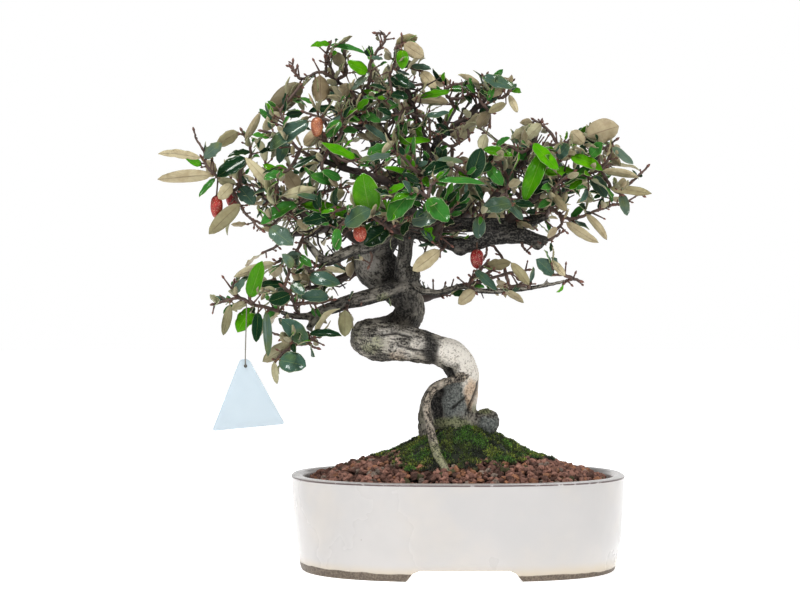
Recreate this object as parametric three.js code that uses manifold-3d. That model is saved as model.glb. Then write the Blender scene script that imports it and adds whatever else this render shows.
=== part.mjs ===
// A thorny olive bonsai (Elaeagnus pungens) in its oval glazed pot, in millimetres, +Z up.
// Every place is measured from the middle of the pot's foot; the group then moves so that
// the middle of its own outline is at the origin.
import * as THREE from "three";
import { mergeVertices } from "three/addons/utils/BufferGeometryUtils.js";
import Module from "manifold-3d";

const wasm = await Module();
wasm.setup();

// Driving dimensions of the pot
const POT_HEIGHT = 58.5;
const POT_HALF_LENGTH = 105;
const POT_HALF_WIDTH = 80;
const POT_FOOT_HALF_LENGTH = 99;
const POT_WALL = 8;
const POT_FLOOR_TOP = 14;
const FOOT_HEIGHT = 6.5;
const FOOT_WIDTH = 13;
const FOOT_GAP = 70;
const OVAL_POWER = 2.5;
const DRAIN_RADIUS = 8;
const DRAIN_OFFSET = 46;
const POT_SIDES = 48;

// Soil and moss
const SOIL_EDGE = 54.5;
const SOIL_DOME = 20;
const SOIL_GRAIN = 1.5;
const SOIL_RINGS = 6;
const MOSS_RADIUS = 44;
const MOSS_HEIGHT = 19;
const MOSS_RINGS = 4;
const GROUND_SIDES = 36;

// Leaves, twigs and fruits
const BLADE_THICKNESS = 0.7;
const TWIG_SIDES = 3;
const TWIG_RADIUS = 1.6;
const TWIG_TIP_RADIUS = 1.35;
const STALK_HALF = 0.5;
const STALK_DEPTH = 0.8;
const STALK_LENGTH = 3;
const CLEARANCE = 0.35;
const FRUIT_SIDES = 7;

// How a place in the photograph becomes a place on the tree: a pixel is PIXEL mm wide at the
// pot's middle, the eye is EYE_HEIGHT over the floor and EYE_RANGE in front of the pot, and a
// depth is how far behind the pot's middle a point lies.
const PIXEL = 0.633;
const EYE_HEIGHT = 165;
const EYE_RANGE = 1240;
const PICTURE_MIDDLE = [400, 305.5];
const POT_PIXEL = 457.5;
const seen = ([u, v, depth]) => {
  const scale = PIXEL * (1 + depth / EYE_RANGE);
  const x = (u - PICTURE_MIDDLE[0]) * scale - (POT_PIXEL - PICTURE_MIDDLE[0]) * PIXEL;
  return new THREE.Vector3(x, depth, EYE_HEIGHT + (PICTURE_MIDDLE[1] - v) * scale);
};

// The wood that grew as one piece: rows of [u, v, depth, radius in mm] with a number of sides.
const WOOD = [
  // trunk, from the buried foot through the loop to the crown
  [12, [[456, 462, 4, 11], [456, 446, 4, 13.5], [456, 428, 2, 14.5], [457, 408, 0, 13.2],
    [462, 388, -3, 10.6], [462, 371, -6, 10.1], [451, 356, -10, 10.6], [430, 348, -14, 9.8],
    [402, 343, -17, 11.2], [376, 340, -13, 12.2], [368, 336, 3, 12], [378, 330, 15, 11],
    [394, 323, 18, 10.2], [408, 313, 13, 9.8], [409, 300, 8, 9.2], [404, 287, 4, 7.2],
    [402, 270, 1, 5], [405, 250, 0, 4.6], [405, 236, 0, 5], [402, 222, 2, 4.6]]],
  // swollen knee behind the upper trunk
  [8, [[409, 304, 9, 8], [395, 289, 15, 10.5], [378, 270, 20, 14.3], [374, 255, 21, 13.4],
    [385, 240, 16, 9], [400, 227, 8, 6]]],
  // left lobe of the foot
  [7, [[452, 384, 4, 6], [441, 395, 6, 9.4], [436, 412, 6, 11], [437, 440, 6, 11]]],
  // aerial root that stands in front
  [6, [[470, 374, -11, 2], [458, 378, -16, 2.6], [446, 382, -18, 2.7], [435, 388, -18, 2.8],
    [428, 398, -18, 2.8], [427, 410, -18, 2.7], [430, 426, -20, 2.7], [434, 444, -23, 2.9],
    [442, 466, -27, 3.1]]],
  // upper left branch, in front of the knee
  [6, [[405, 231, 1, 4.6], [395, 233, -5, 3.7], [384, 240, -9, 3.5], [369, 247, -12, 3.2],
    [354, 250, -14, 3.2], [338, 257, -15, 3], [325, 261, -16, 2.8], [316, 253, -17, 2.3],
    [310, 246, -18, 2], [303, 238, -18, 1.6]]],
  // low left branch, from its knot, and its two forks
  [6, [[404, 284, 4, 5.5], [390, 290, -4, 5.8], [376, 296, -9, 3.6], [361, 300, -12, 3.2],
    [348, 303, -14, 3], [335, 306, -16, 2.8], [322, 310, -18, 2.4], [308, 316, -20, 2],
    [292, 316, -22, 1.7], [280, 312, -23, 1.5]]],
  [4, [[322, 310, -18, 2.2], [314, 322, -21, 1.8], [308, 332, -22, 1.5]]],
  // right main branch and the heavier one above it
  [7, [[404, 232, 1, 5], [416, 232, 0, 4.3], [430, 238, -3, 4], [445, 242, -5, 4.2],
    [460, 246, -7, 4.9], [475, 245, -9, 4.2], [490, 240, -10, 3.8], [520, 238, -12, 3.6],
    [536, 242, -13, 3.9], [548, 241, -14, 2]]],
  [7, [[403, 224, 4, 4.8], [425, 222, 7, 4.6], [450, 224, 9, 4.6], [476, 225, 8, 4.3],
    [505, 224, 10, 3.9], [530, 222, 12, 3.2], [548, 215, 10, 2.2]]],
  [4, [[478, 242, -8, 3.4], [484, 233, -1, 3], [490, 225, 8, 3.2]]],
  // low right branch
  [4, [[410, 276, 3, 3.4], [420, 289, -4, 2.6], [430, 292, -8, 2.3], [441, 292, -10, 2.1],
    [455, 288, -13, 2], [465, 287, -14, 1.9], [475, 290, -15, 1.9], [490, 291.5, -17, 1.8],
    [505, 291, -18, 1.7], [530, 288, -20, 1.6], [552, 284, -22, 1.4], [566, 281, -23, 1.2]]],
  // crown
  [7, [[403, 226, 3, 5], [408, 212, 4, 4.6], [416, 196, 3, 4.2], [423, 178, 1, 3.8],
    [431, 160, 0, 3.3], [439, 138, -1, 2.8], [446, 122, 0, 2.4], [455, 108, 2, 1.8]]],
  [4, [[416, 196, 3, 3.4], [400, 188, -4, 3], [380, 180, -10, 2.6], [358, 172, -14, 2.4],
    [335, 165, -18, 2.1], [315, 158, -20, 1.5]]],
  [4, [[423, 178, 1, 3], [408, 160, 6, 2.7], [392, 142, 10, 2.4], [376, 124, 12, 2.1],
    [360, 106, 12, 1.8], [346, 90, 10, 1.4]]],
  [4, [[431, 160, 0, 2.8], [424, 140, -4, 2.4], [416, 118, -6, 2.1], [410, 98, -6, 1.8],
    [400, 78, -5, 1.3]]],
  [4, [[439, 138, -1, 2.4], [455, 126, -6, 2.1], [470, 114, -10, 1.8], [484, 102, -12, 1.4]]],
  // right half of the canopy
  [4, [[476, 225, 8, 3], [488, 208, 6, 2.6], [500, 190, 2, 2.3], [514, 172, -2, 2],
    [526, 158, -6, 1.4]]],
  [4, [[505, 224, 10, 3], [524, 206, 4, 2.5], [545, 190, -4, 2.1], [566, 178, -8, 1.5]]],
  [4, [[530, 222, 12, 2.6], [548, 208, 29, 2.2], [566, 190, 39, 1.8], [584, 176, 47, 1.4]]],
  // left half of the canopy
  [4, [[376, 252, 20, 3.8], [352, 236, 14, 3], [330, 226, 6, 2.7], [306, 214, 0, 2.4],
    [282, 204, -6, 2.1], [258, 194, -12, 1.5]]],
  [4, [[330, 226, 6, 2.4], [312, 232, 27, 2], [292, 234, 39, 1.4]]],
  [4, [[377, 258, 29, 3.6], [356, 240, 41, 3], [332, 222, 51, 2.3], [306, 206, 59, 1.5]]],
  // front and back of the canopy
  [4, [[396, 233, -4, 3.2], [386, 224, -24, 2.6], [374, 216, -42, 1.6]]],
  [4, [[430, 238, -3, 3.2], [440, 228, -22, 2.5], [446, 214, -40, 1.6]]],
  [4, [[425, 222, 8, 3.6], [440, 208, 29, 3], [456, 192, 45, 2.4], [474, 176, 56, 2],
    [492, 164, 64, 1.4]]],
  [4, [[416, 196, 3, 3.2], [412, 172, 24, 2.6], [406, 146, 38, 2.2], [398, 120, 47, 1.8],
    [392, 100, 51, 1.4]]],
  [4, [[403, 224, 8, 3.6], [396, 206, 32, 2.8], [390, 190, 51, 1.5]]],
  [4, [[450, 224, 10, 3.4], [470, 212, 33, 2.6], [492, 204, 50, 1.5]]],
  [4, [[376, 124, 12, 2.2], [358, 128, 32, 1.8], [340, 126, 44, 1.3]]],
  [4, [[514, 172, -2, 2.1], [528, 160, 22, 1.8], [540, 150, 35, 1.3]]],
  [4, [[376, 262, 27, 3.2], [352, 274, 38, 2.4], [326, 284, 45, 1.9], [300, 290, 50, 1.4]]],
  [4, [[409, 300, 12, 3.4], [432, 296, 27, 2.6], [458, 288, 38, 2.1], [486, 280, 47, 1.4]]],
];

// Round knots and the cut stub: [u, v, depth, radius]
const KNOTS = [[486, 421, -1, 8.4], [390, 290, -3, 6.2]];

// Thorns and spurs on the bare wood: [u, v, depth] of the root, then [u, v] of the point
const THORNS = [[430, 292, -8, 427, 283], [442, 292, -10, 445, 281], [456, 288, -13, 458, 277],
  [470, 288, -14, 475, 279], [520, 289, -19, 524, 281], [544, 286, -21, 548, 278],
  [350, 250, -14, 345, 260], [335, 306, -16, 331, 298], [448, 224, 4, 452, 214]];

// The leafy shoots of the side that the photograph shows: [u, v, depth] along each twig
const FRONT_SPRAYS = {
  left_tip: [[[258, 194, -12], [240, 186, -17], [222, 179, -24], [210, 170, -28], [202, 158, -30]],
    [[240, 186, -17], [241, 170, -19], [251, 156, -18], [248, 142, -18], [242, 131, -19]],
    [[240, 186, -17], [233, 192, -22], [237, 200, -23], [241, 206, -22]]],
  left_upper: [[[315, 158, -20], [300, 150, -24], [287, 138, -28], [276, 134, -30], [262, 131, -30]],
    [[287, 138, -28], [284, 120, -22], [281, 110, -18], [300, 86, -10]],
    [[300, 150, -24], [292, 166, -30], [280, 176, -33], [276, 190, -35]]],
  left_centre: [[[300, 211, -1], [294, 205, -14], [282, 198, -24], [268, 197, -28]],
    [[294, 205, -14], [284, 214, -24], [272, 226, -28]],
    [[294, 205, -14], [306, 200, -27], [324, 192, -28], [347, 187, -30]]],
  left_middle: [[[340, 167, -17], [328, 150, -24], [322, 132, -24], [318, 114, -22]],
    [[328, 150, -24], [344, 161, -30], [360, 159, -33]],
    [[328, 150, -24], [340, 138, -20], [342, 122, -14], [356, 112, -6]],
    [[328, 150, -24], [322, 168, -28], [334, 180, -30]]],
  top_left: [[[346, 90, 10], [336, 80, 6], [320, 72, 2], [303, 79, 0], [296, 74, -2], [291, 67, -3]],
    [[336, 80, 6], [330, 66, 4], [327, 54, 3], [330, 44, 2]],
    [[336, 80, 6], [346, 74, 3], [345, 62, 2], [344, 50, 2]]],
  top_middle: [[[362, 108, 12], [367, 92, 5], [370, 76, 1], [370, 63, -1], [378, 50, -2],
    [385, 40, -2], [383, 34, -2], [376, 33, -1]],
    [[367, 92, 5], [356, 98, 0], [340, 107, -3]],
    [[367, 92, 5], [378, 94, 0], [386, 102, -2]],
    [[367, 92, 5], [368, 108, -5], [366, 122, -9]]],
  top_right: [[[400, 78, -5], [396, 62, -6], [396, 48, -6], [403, 44, -8]],
    [[396, 62, -6], [404, 64, -2], [412, 68, -2], [421, 71, -5]],
    [[396, 62, -6], [390, 74, -11], [392, 92, -13]]],
  crown_inner: [[[413, 108, -6], [403, 110, -13], [398, 124, -16], [394, 142, -17], [402, 152, -22]],
    [[403, 110, -13], [416, 116, -16], [428, 118, -16], [430, 138, -16]]],
  crown_right: [[[455, 108, 2], [450, 99, -4], [444, 91, -6], [456, 84, -9], [476, 84, -12]],
    [[450, 99, -4], [462, 98, -9], [472, 92, -12]]],
  crown_far_right: [[[484, 102, -12], [488, 92, -15], [483, 77, -18]],
    [[488, 92, -15], [499, 98, -17], [508, 93, -18], [511, 79, -18]],
    [[488, 92, -15], [480, 100, -19], [489, 112, -19], [490, 125, -20]]],
  middle_front_left: [[[374, 216, -42], [366, 212, -52], [352, 216, -56], [342, 224, -54], [337, 229, -50]],
    [[366, 212, -52], [380, 222, -53], [390, 230, -53]],
    [[366, 212, -52], [352, 206, -50], [334, 212, -44], [320, 214, -40]]],
  middle_front_right: [[[446, 214, -40], [438, 204, -50], [428, 198, -57], [415, 189, -61],
    [402, 192, -58], [386, 198, -55]],
    [[428, 198, -57], [431, 186, -52], [437, 180, -50]],
    [[438, 204, -50], [422, 212, -54], [408, 217, -54]]],
  middle_upper: [[[423, 178, 1], [430, 172, -16], [438, 167, -30], [450, 163, -38], [464, 162, -41]],
    [[438, 167, -30], [418, 172, -38], [406, 160, -40], [394, 152, -40]],
    [[450, 163, -38], [464, 172, -40], [470, 179, -40]]],
  right_inner: [[[508, 180, 0], [503, 168, -14], [494, 160, -22], [482, 154, -27]],
    [[503, 168, -14], [508, 182, -24], [506, 194, -29], [511, 203, -32]],
    [[506, 194, -29], [492, 204, -33], [481, 214, -35]]],
  right_upper: [[[526, 158, -6], [534, 145, -14], [544, 150, -22]],
    [[534, 145, -14], [538, 130, -13], [541, 122, -13]],
    [[534, 145, -14], [522, 152, -20], [510, 146, -22], [496, 144, -22]]],
  right_top: [[[548, 188, -5], [556, 172, -11], [559, 156, -15], [570, 140, -15], [586, 138, -15]],
    [[559, 156, -15], [574, 156, -18], [590, 154, -18], [600, 146, -16]]],
  right_outer: [[[566, 178, -8], [584, 175, -12], [600, 169, -15], [609, 158, -17], [612, 147, -17]],
    [[600, 169, -15], [608, 182, -16], [612, 189, -17], [621, 194, -19]],
    [[584, 175, -12], [590, 178, -18]]],
  right_middle: [[[546, 217, 10], [550, 206, -6], [553, 194, -15], [557, 184, -19], [574, 172, -20]],
    [[550, 206, -6], [560, 215, -9], [572, 219, -11], [586, 215, -13], [598, 210, -14], [612, 205, -15]],
    [[560, 215, -9], [562, 223, -13], [557, 229, -14]]],
  right_low: [[[467, 287, -14], [473, 277, -19], [482, 268, -21], [487, 262, -21]],
    [[473, 277, -19], [486, 274, -23], [492, 270, -24]],
    [[473, 277, -19], [470, 286, -23], [475, 292, -24]]],
  right_low_tip: [[[566, 281, -23], [573, 279, -25], [580, 281, -26]],
    [[573, 279, -25], [564, 275, -27], [553, 275, -28]]],
  right_low_middle: [[[528, 288, -20], [529, 284, -24], [520, 280, -25]],
    [[529, 284, -24], [512, 287, -24], [505, 292, -24]]],
  right_under: [[[446, 243, -6], [443, 249, -13], [439, 251, -15]]],
  low_left_upper: [[[303, 238, -18], [297, 250, -22], [286, 258, -24], [276, 263, -26]],
    [[297, 250, -22], [304, 262, -22], [311, 272, -22], [325, 269, -21]],
    [[286, 258, -24], [289, 270, -26], [286, 283, -28]]],
  low_left_outer: [[[280, 312, -23], [268, 308, -26], [254, 305, -28], [240, 298, -29], [226, 301, -30],
    [214, 304, -30]],
    [[254, 305, -28], [250, 300, -30], [249, 296, -30]],
    [[240, 298, -29], [232, 292, -27], [234, 282, -25]]],
  low_left_inner: [[[300, 316, -21], [294, 305, -26], [291, 294, -28], [282, 286, -30]],
    [[294, 305, -26], [306, 303, -27], [318, 303, -27], [333, 300, -25]]],
  low_left_under: [[[308, 332, -22], [307, 343, -25], [295, 345, -27], [284, 352, -29], [276, 361, -30]],
    [[307, 343, -25], [296, 336, -30], [286, 335, -31]],
    [[307, 343, -25], [314, 337, -28]]],
  low_left_spur: [[[346, 303, -14], [347, 308, -21], [345, 311, -22]]],
};

// The leafy shoots of the far side
const BACK_SPRAYS = {
  back_left: [[[306, 206, 59], [284, 198, 65], [262, 188, 67], [244, 184, 67]],
    [[284, 198, 65], [274, 180, 59], [266, 164, 53]],
    [[284, 198, 65], [296, 184, 70], [288, 166, 74]]],
  back_left_low: [[[300, 290, 50], [280, 292, 53], [260, 286, 53]],
    [[280, 292, 53], [284, 304, 60], [276, 314, 65]],
    [[280, 292, 53], [274, 276, 44]]],
  back_left_middle: [[[292, 234, 39], [272, 228, 44], [254, 220, 45]],
    [[272, 228, 44], [282, 214, 47], [276, 202, 48]],
    [[272, 228, 44], [278, 244, 50], [264, 252, 56]]],
  back_middle: [[[390, 190, 51], [378, 176, 62], [366, 162, 70]],
    [[378, 176, 62], [396, 172, 70], [412, 164, 76]],
    [[378, 176, 62], [380, 198, 68], [370, 214, 73]]],
  back_crown: [[[392, 100, 51], [384, 84, 56], [376, 70, 56]],
    [[384, 84, 56], [404, 86, 60], [426, 84, 62]],
    [[384, 84, 56], [368, 96, 64], [350, 102, 67]]],
  back_top_left: [[[340, 126, 44], [322, 118, 48], [304, 112, 50]],
    [[322, 118, 48], [330, 102, 50], [326, 88, 48]],
    [[322, 118, 48], [332, 138, 56], [322, 150, 60]]],
  back_right_upper: [[[492, 164, 64], [510, 156, 68], [530, 150, 70]],
    [[510, 156, 68], [496, 140, 73], [480, 128, 74]],
    [[510, 156, 68], [520, 172, 76]]],
  back_right_middle: [[[492, 204, 50], [512, 200, 57], [534, 200, 62]],
    [[512, 200, 57], [500, 186, 67], [484, 180, 73]],
    [[512, 200, 57], [508, 216, 65], [516, 228, 70]]],
  back_right_top: [[[540, 150, 35], [558, 144, 38], [576, 140, 38]],
    [[558, 144, 38], [548, 130, 42], [534, 120, 44]],
    [[558, 144, 38], [562, 158, 47], [554, 168, 53]]],
  back_right_outer: [[[584, 176, 47], [600, 168, 48], [614, 164, 48]],
    [[600, 168, 48], [598, 152, 53], [590, 142, 54]],
    [[600, 168, 48], [604, 186, 53], [602, 204, 53]]],
  inner_left: [[[318, 220, 4], [300, 214, 18], [282, 202, 26]],
    [[300, 214, 18], [304, 196, 24], [312, 180, 28]]],
  inner_top: [[[392, 142, 10], [376, 136, 26], [362, 122, 32]],
    [[376, 136, 26], [392, 122, 30], [404, 108, 28]]],
  inner_right: [[[514, 213, 8], [520, 196, 18], [534, 178, 22]],
    [[520, 196, 18], [504, 182, 26], [496, 166, 32]]],
  inner_middle: [[[438, 140, -1], [452, 146, 14], [466, 138, 24]],
    [[452, 146, 14], [454, 166, 28], [468, 180, 34]]],
  back_right_low: [[[486, 280, 47], [506, 274, 50], [528, 270, 50]],
    [[506, 274, 50], [502, 258, 57], [494, 246, 62]],
    [[506, 274, 50], [510, 288, 56]]],
};

// The leaves that the photograph shows one by one: [u, v] of the base, [u, v] of the tip, width
// in pixels, and the angle in degrees by which the upper face turns from the sky to the viewer.
const SEEN_LEAVES = [
  // far left
  [212, 175, 157, 180, 13, -75], [201, 158, 158, 152, 9, -65], [203, 157, 221, 143, 14, 60],
  [206, 160, 214, 177, 12, -60], [246, 158, 217, 177, 18, 60], [238, 132, 216, 146, 14, -60],
  [245, 140, 260, 113, 8, -70], [251, 152, 228, 155, 8, 50], [240, 187, 254, 204, 17, 65],
  [232, 184, 218, 199, 13, -60], [215, 178, 199, 197, 7, 50], [240, 204, 209, 234, 15, -80],
  [275, 192, 245, 158, 11, -85], [298, 203, 260, 222, 14, 60], [309, 121, 269, 148, 18, 60],
  [287, 135, 279, 163, 13, 60], [279, 112, 263, 131, 12, -70], [303, 84, 268, 115, 22, -70],
  [270, 138, 253, 133, 7, 45], [283, 172, 264, 178, 10, 60],
  // low left
  [275, 263, 233, 276, 10, -60], [250, 298, 262, 261, 16, 65], [284, 284, 258, 285, 11, 55],
  [290, 294, 269, 302, 16, 60], [301, 254, 281, 262, 11, 50], [293, 268, 283, 254, 10, 60],
  [309, 275, 340, 283, 16, 65], [329, 297, 301, 297, 14, 65], [325, 268, 346, 272, 7, -60],
  [292, 283, 304, 295, 11, 60], [253, 308, 237, 331, 17, 65], [230, 305, 223, 336, 9, -70],
  [247, 303, 230, 309, 9, -60], [258, 312, 256, 342, 11, 60], [266, 311, 268, 357, 9, 60],
  [294, 343, 263, 362, 14, -75], [307, 344, 283, 319, 18, 70], [309, 334, 341, 334, 10, 50],
  [345, 310, 345, 337, 14, -80], [279, 360, 306, 366, 22, 70], [274, 362, 277, 384, 7, -60],
  [219, 303, 210, 295, 7, -50], [234, 293, 244, 279, 9, 60],
  // crown, left half
  [330, 43, 311, 45, 9, 50], [330, 45, 365, 52, 8, 50], [332, 55, 345, 65, 13, -65],
  [368, 72, 347, 62, 16, 60], [370, 72, 351, 91, 7, 60], [320, 75, 320, 104, 18, -80],
  [336, 108, 309, 110, 10, 50], [356, 111, 327, 124, 10, 50], [322, 132, 304, 145, 14, -70],
  [340, 120, 326, 138, 13, 60], [342, 128, 358, 132, 9, 55], [364, 113, 380, 121, 12, 55],
  [364, 124, 390, 143, 8, 50], [363, 90, 385, 99, 8, 55], [371, 98, 361, 112, 9, 60],
  [350, 84, 337, 98, 13, -70], [371, 57, 383, 60, 7, 50],
  // crown, right half
  [396, 44, 418, 36, 12, -60], [404, 44, 425, 57, 15, -75], [402, 50, 402, 69, 13, 65],
  [411, 66, 431, 69, 9, 50], [421, 72, 436, 88, 12, -70], [392, 76, 409, 88, 15, 60],
  [391, 94, 408, 97, 11, 60], [450, 91, 420, 96, 10, 50], [449, 103, 411, 99, 12, -60],
  [446, 90, 475, 89, 10, 55], [483, 76, 515, 88, 14, 65], [508, 78, 489, 97, 13, -70],
  [480, 85, 458, 73, 7, -50], [509, 95, 518, 113, 7, -60], [506, 104, 488, 112, 9, -60],
  [490, 112, 477, 127, 13, -65], [424, 117, 450, 113, 8, 50], [431, 140, 404, 141, 8, 60],
  [378, 94, 413, 117, 6, 40], [395, 141, 381, 153, 7, -60],
  // middle
  [371, 215, 363, 173, 27, 72], [415, 188, 388, 221, 20, 65], [375, 214, 399, 223, 10, -40],
  [428, 198, 448, 223, 20, 65], [411, 222, 437, 217, 17, 60], [388, 192, 405, 184, 10, 55],
  [417, 177, 384, 167, 8, 50], [392, 155, 358, 161, 9, 50], [393, 146, 367, 155, 16, 60],
  [450, 164, 423, 174, 15, 60], [464, 162, 438, 158, 7, 50], [436, 180, 485, 182, 9, 50],
  [470, 179, 481, 148, 18, 65], [388, 229, 364, 245, 20, 65], [331, 216, 302, 223, 15, 60],
  [344, 225, 369, 208, 20, 60], [302, 205, 356, 217, 14, 60], [322, 199, 297, 194, 8, 55],
  [270, 227, 293, 245, 19, 65], [337, 228, 337, 251, 10, 60], [283, 196, 316, 189, 12, -65],
  [345, 192, 328, 200, 12, -60], [341, 179, 323, 170, 11, 60], [331, 184, 311, 175, 12, 60],
  [318, 155, 290, 170, 7, 50], [356, 158, 321, 143, 12, 55],
  // right
  [483, 149, 513, 157, 11, 60], [486, 134, 481, 151, 11, -60], [496, 146, 509, 137, 8, 55],
  [528, 158, 507, 147, 14, 60], [532, 128, 511, 139, 12, -60], [541, 124, 526, 139, 13, -65],
  [533, 143, 558, 171, 14, 60], [543, 152, 524, 201, 18, 70], [520, 158, 492, 166, 9, 55],
  [488, 166, 503, 185, 13, 60], [509, 167, 510, 190, 10, 60], [575, 171, 541, 174, 12, 55],
  [557, 158, 569, 144, 14, 60], [570, 156, 603, 168, 14, 60], [555, 181, 534, 193, 13, 60],
  [512, 203, 482, 209, 17, 65], [504, 196, 523, 220, 10, 60], [480, 216, 478, 239, 13, 65],
  [552, 193, 566, 211, 9, -60], [553, 202, 537, 206, 9, -60], [557, 228, 546, 237, 9, -60],
  [586, 137, 619, 126, 24, -80], [584, 144, 571, 131, 14, -75], [590, 156, 603, 143, 14, 60],
  [612, 146, 633, 165, 9, 60], [607, 152, 622, 166, 9, -60], [602, 171, 639, 176, 9, -60],
  [610, 188, 652, 193, 10, -65], [592, 176, 606, 198, 15, 65], [621, 193, 627, 216, 10, 60],
  [566, 222, 598, 243, 10, -70], [586, 214, 608, 240, 8, -65],
  // low right
  [440, 250, 412, 271, 15, -80], [475, 270, 497, 290, 10, 60], [484, 267, 511, 262, 13, -60],
  [529, 285, 511, 263, 10, -65], [475, 291, 459, 304, 13, -70], [505, 291, 525, 302, 8, -60],
  [553, 275, 537, 259, 15, 65], [565, 276, 551, 260, 8, -65],
];

// Ripe and unripe fruits: [u, v, depth] of the middle, height and width in pixels, colour, and
// [u, v, depth] of the place on a twig that each hangs from
const FRUITS = [
  [[216.5, 207, -25], 22, 12, 0xb5503a, [218, 178, -25]],
  [[232, 199, -15], 16, 12, 0x9c2f35, [234, 183, -19]],
  [[317, 127, -31], 19, 12, 0xb8693f, [318, 115, -22]],
  [[360, 234, -60], 15, 13, 0xb85a38, [353, 216, -56]],
  [[477, 259, -19], 19, 13, 0xa8403c, [477, 243, -15]],
];

// The bare plastic tag on its thread
const TAG_CORNERS = [[240, 359], [249, 359], [285, 424], [212, 431]];
const TAG_DEPTH = -36;
const TAG_THICKNESS = 0.8;
const TAG_HOLE = [245.5, 366];
const TAG_HOLE_RADIUS = 1.05;
const THREAD_RADIUS = 0.35;
const THREAD_BEND = 1.7;
const THREAD_TOP = [246.5, 304.5, -31];
const KNOT_RADIUS = 1.35;

const UP = new THREE.Vector3(0, 0, 1);
const TO_VIEWER = new THREE.Vector3(0, -1, 0);
const radians = THREE.MathUtils.degToRad;

// Seeded random numbers from 0 to 1
function dice(seed) {
  let state = (seed % 2147483646) + 1;
  return () => {
    state = (state * 16807) % 2147483647;
    return state / 2147483647;
  };
}

// Solids from three.js geometries, joined and cut, and back to meshes
function solid(geometry, tolerance = 1e-4) {
  const bare = geometry.index ? geometry.toNonIndexed() : geometry.clone();
  bare.deleteAttribute("normal");
  bare.deleteAttribute("uv");
  const merged = mergeVertices(bare, tolerance);
  const index = [...merged.index.array];
  const faces = [];
  for (let i = 0; i < index.length; i += 3) {
    const [a, b, c] = index.slice(i, i + 3);
    if (a !== b && b !== c && c !== a) faces.push(a, b, c);
  }
  const vertProperties = merged.attributes.position.array;
  const made = new wasm.Manifold(
    new wasm.Mesh({ numProp: 3, vertProperties, triVerts: new Uint32Array(faces) }),
  );
  if (made.volume() > 0) return made;
  return new wasm.Manifold(
    new wasm.Mesh({ numProp: 3, vertProperties, triVerts: new Uint32Array(faces.reverse()) }),
  );
}

const joined = (solids) => solids.reduce((whole, next) => whole.add(next));

function largest(body) {
  return body.decompose().reduce((best, next) => (next.volume() > best.volume() ? next : best));
}

const group = new THREE.Group();

function geometryOf(body) {
  const data = body.getMesh();
  const geometry = new THREE.BufferGeometry();
  geometry.setAttribute("position", new THREE.BufferAttribute(data.vertProperties, 3));
  geometry.setIndex(new THREE.BufferAttribute(data.triVerts, 1));
  return geometry;
}

// A node's mesh: its vertices within 2 microns of each other are merged and scraps dropped
function addMesh(name, body, color, roughness, metalness = 0) {
  const geometry = geometryOf(largest(solid(geometryOf(body), 2e-3)));
  geometry.computeVertexNormals();
  const material = new THREE.MeshStandardMaterial({ color, roughness, metalness });
  const mesh = new THREE.Mesh(geometry, material);
  mesh.name = name;
  group.add(mesh);
}

// A stem's middle line: its stations are evenly spread over the rows, not along the length
class Stem extends THREE.CatmullRomCurve3 {
  constructor(rows) {
    super(rows.map(seen), false, "catmullrom", 0.5);
  }
  getPointAt(part, target) {
    return this.getPoint(part, target);
  }
  getTangentAt(part, target) {
    return this.getTangent(part, target);
  }
  // The point on the straight lines between the rows, where the faceted stem runs
  getFacetPoint(part) {
    const place = part * (this.points.length - 1);
    const before = Math.min(Math.floor(place), this.points.length - 2);
    return this.points[before].clone().lerp(this.points[before + 1], place - before);
  }
}

// A round stem through places of its own radius each, as an extruded circle whose rings are
// then drawn out to the radius there; spare makes it thicker all over.
function limb(rows, sides, spare = 0, stepsPerSpan = 1) {
  const curve = new Stem(rows);
  const spans = rows.length - 1;
  const steps = spans * stepsPerSpan;
  const ring = new THREE.Shape();
  for (let i = 0; i < sides; i++) {
    const turn = (2 * Math.PI * i) / sides;
    ring[i ? "lineTo" : "moveTo"](Math.cos(turn), Math.sin(turn));
  }
  ring.closePath();
  const geometry = new THREE.ExtrudeGeometry(ring, { steps, extrudePath: curve });
  const stations = curve.getSpacedPoints(steps);
  const radii = stations.map((_, i) => {
    const before = Math.min(Math.floor(i / stepsPerSpan), spans - 1);
    const part = i / stepsPerSpan - before;
    return THREE.MathUtils.lerp(rows[before][3], rows[before + 1][3], part) + spare;
  });
  const position = geometry.attributes.position;
  const point = new THREE.Vector3();
  for (let i = 0; i < position.count; i++) {
    point.fromBufferAttribute(position, i);
    let near = 0;
    stations.forEach((s, j) => {
      if (s.distanceTo(point) < stations[near].distanceTo(point)) near = j;
    });
    point.sub(stations[near]).multiplyScalar(radii[near]).add(stations[near]);
    position.setXYZ(i, point.x, point.y, point.z);
  }
  return solid(geometry);
}

// A straight tapered stalk between two points
function stalk(from, to, rootRadius, tipRadius, sides = 4) {
  const along = to.clone().sub(from);
  const geometry = new THREE.CylinderGeometry(tipRadius, rootRadius, along.length(), sides);
  geometry.translate(0, along.length() / 2, 0);
  const turn = new THREE.Quaternion().setFromUnitVectors(
    new THREE.Vector3(0, 1, 0),
    along.clone().normalize(),
  );
  geometry.applyQuaternion(turn).translate(from.x, from.y, from.z);
  return solid(geometry);
}

function ball([u, v, depth, radius], spare = 0) {
  const middle = seen([u, v, depth]);
  return solid(
    new THREE.SphereGeometry(radius + spare, 10, 7).translate(middle.x, middle.y, middle.z),
  );
}

// The oval of the pot: the outline of half length a, the half width being less by a constant
const WIDTH_LESS = POT_HALF_LENGTH - POT_HALF_WIDTH;
const WIDTH_TURN = 60;
function ovalHalfWidth(a) {
  if (a >= WIDTH_TURN) return a - WIDTH_LESS;
  return (a * (WIDTH_TURN - WIDTH_LESS)) / WIDTH_TURN;
}
function ovalRadius(a, angle) {
  const across = Math.abs(Math.cos(angle)) / a;
  const deep = Math.abs(Math.sin(angle)) / ovalHalfWidth(a);
  return (across ** OVAL_POWER + deep ** OVAL_POWER) ** (-1 / OVAL_POWER);
}

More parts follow.
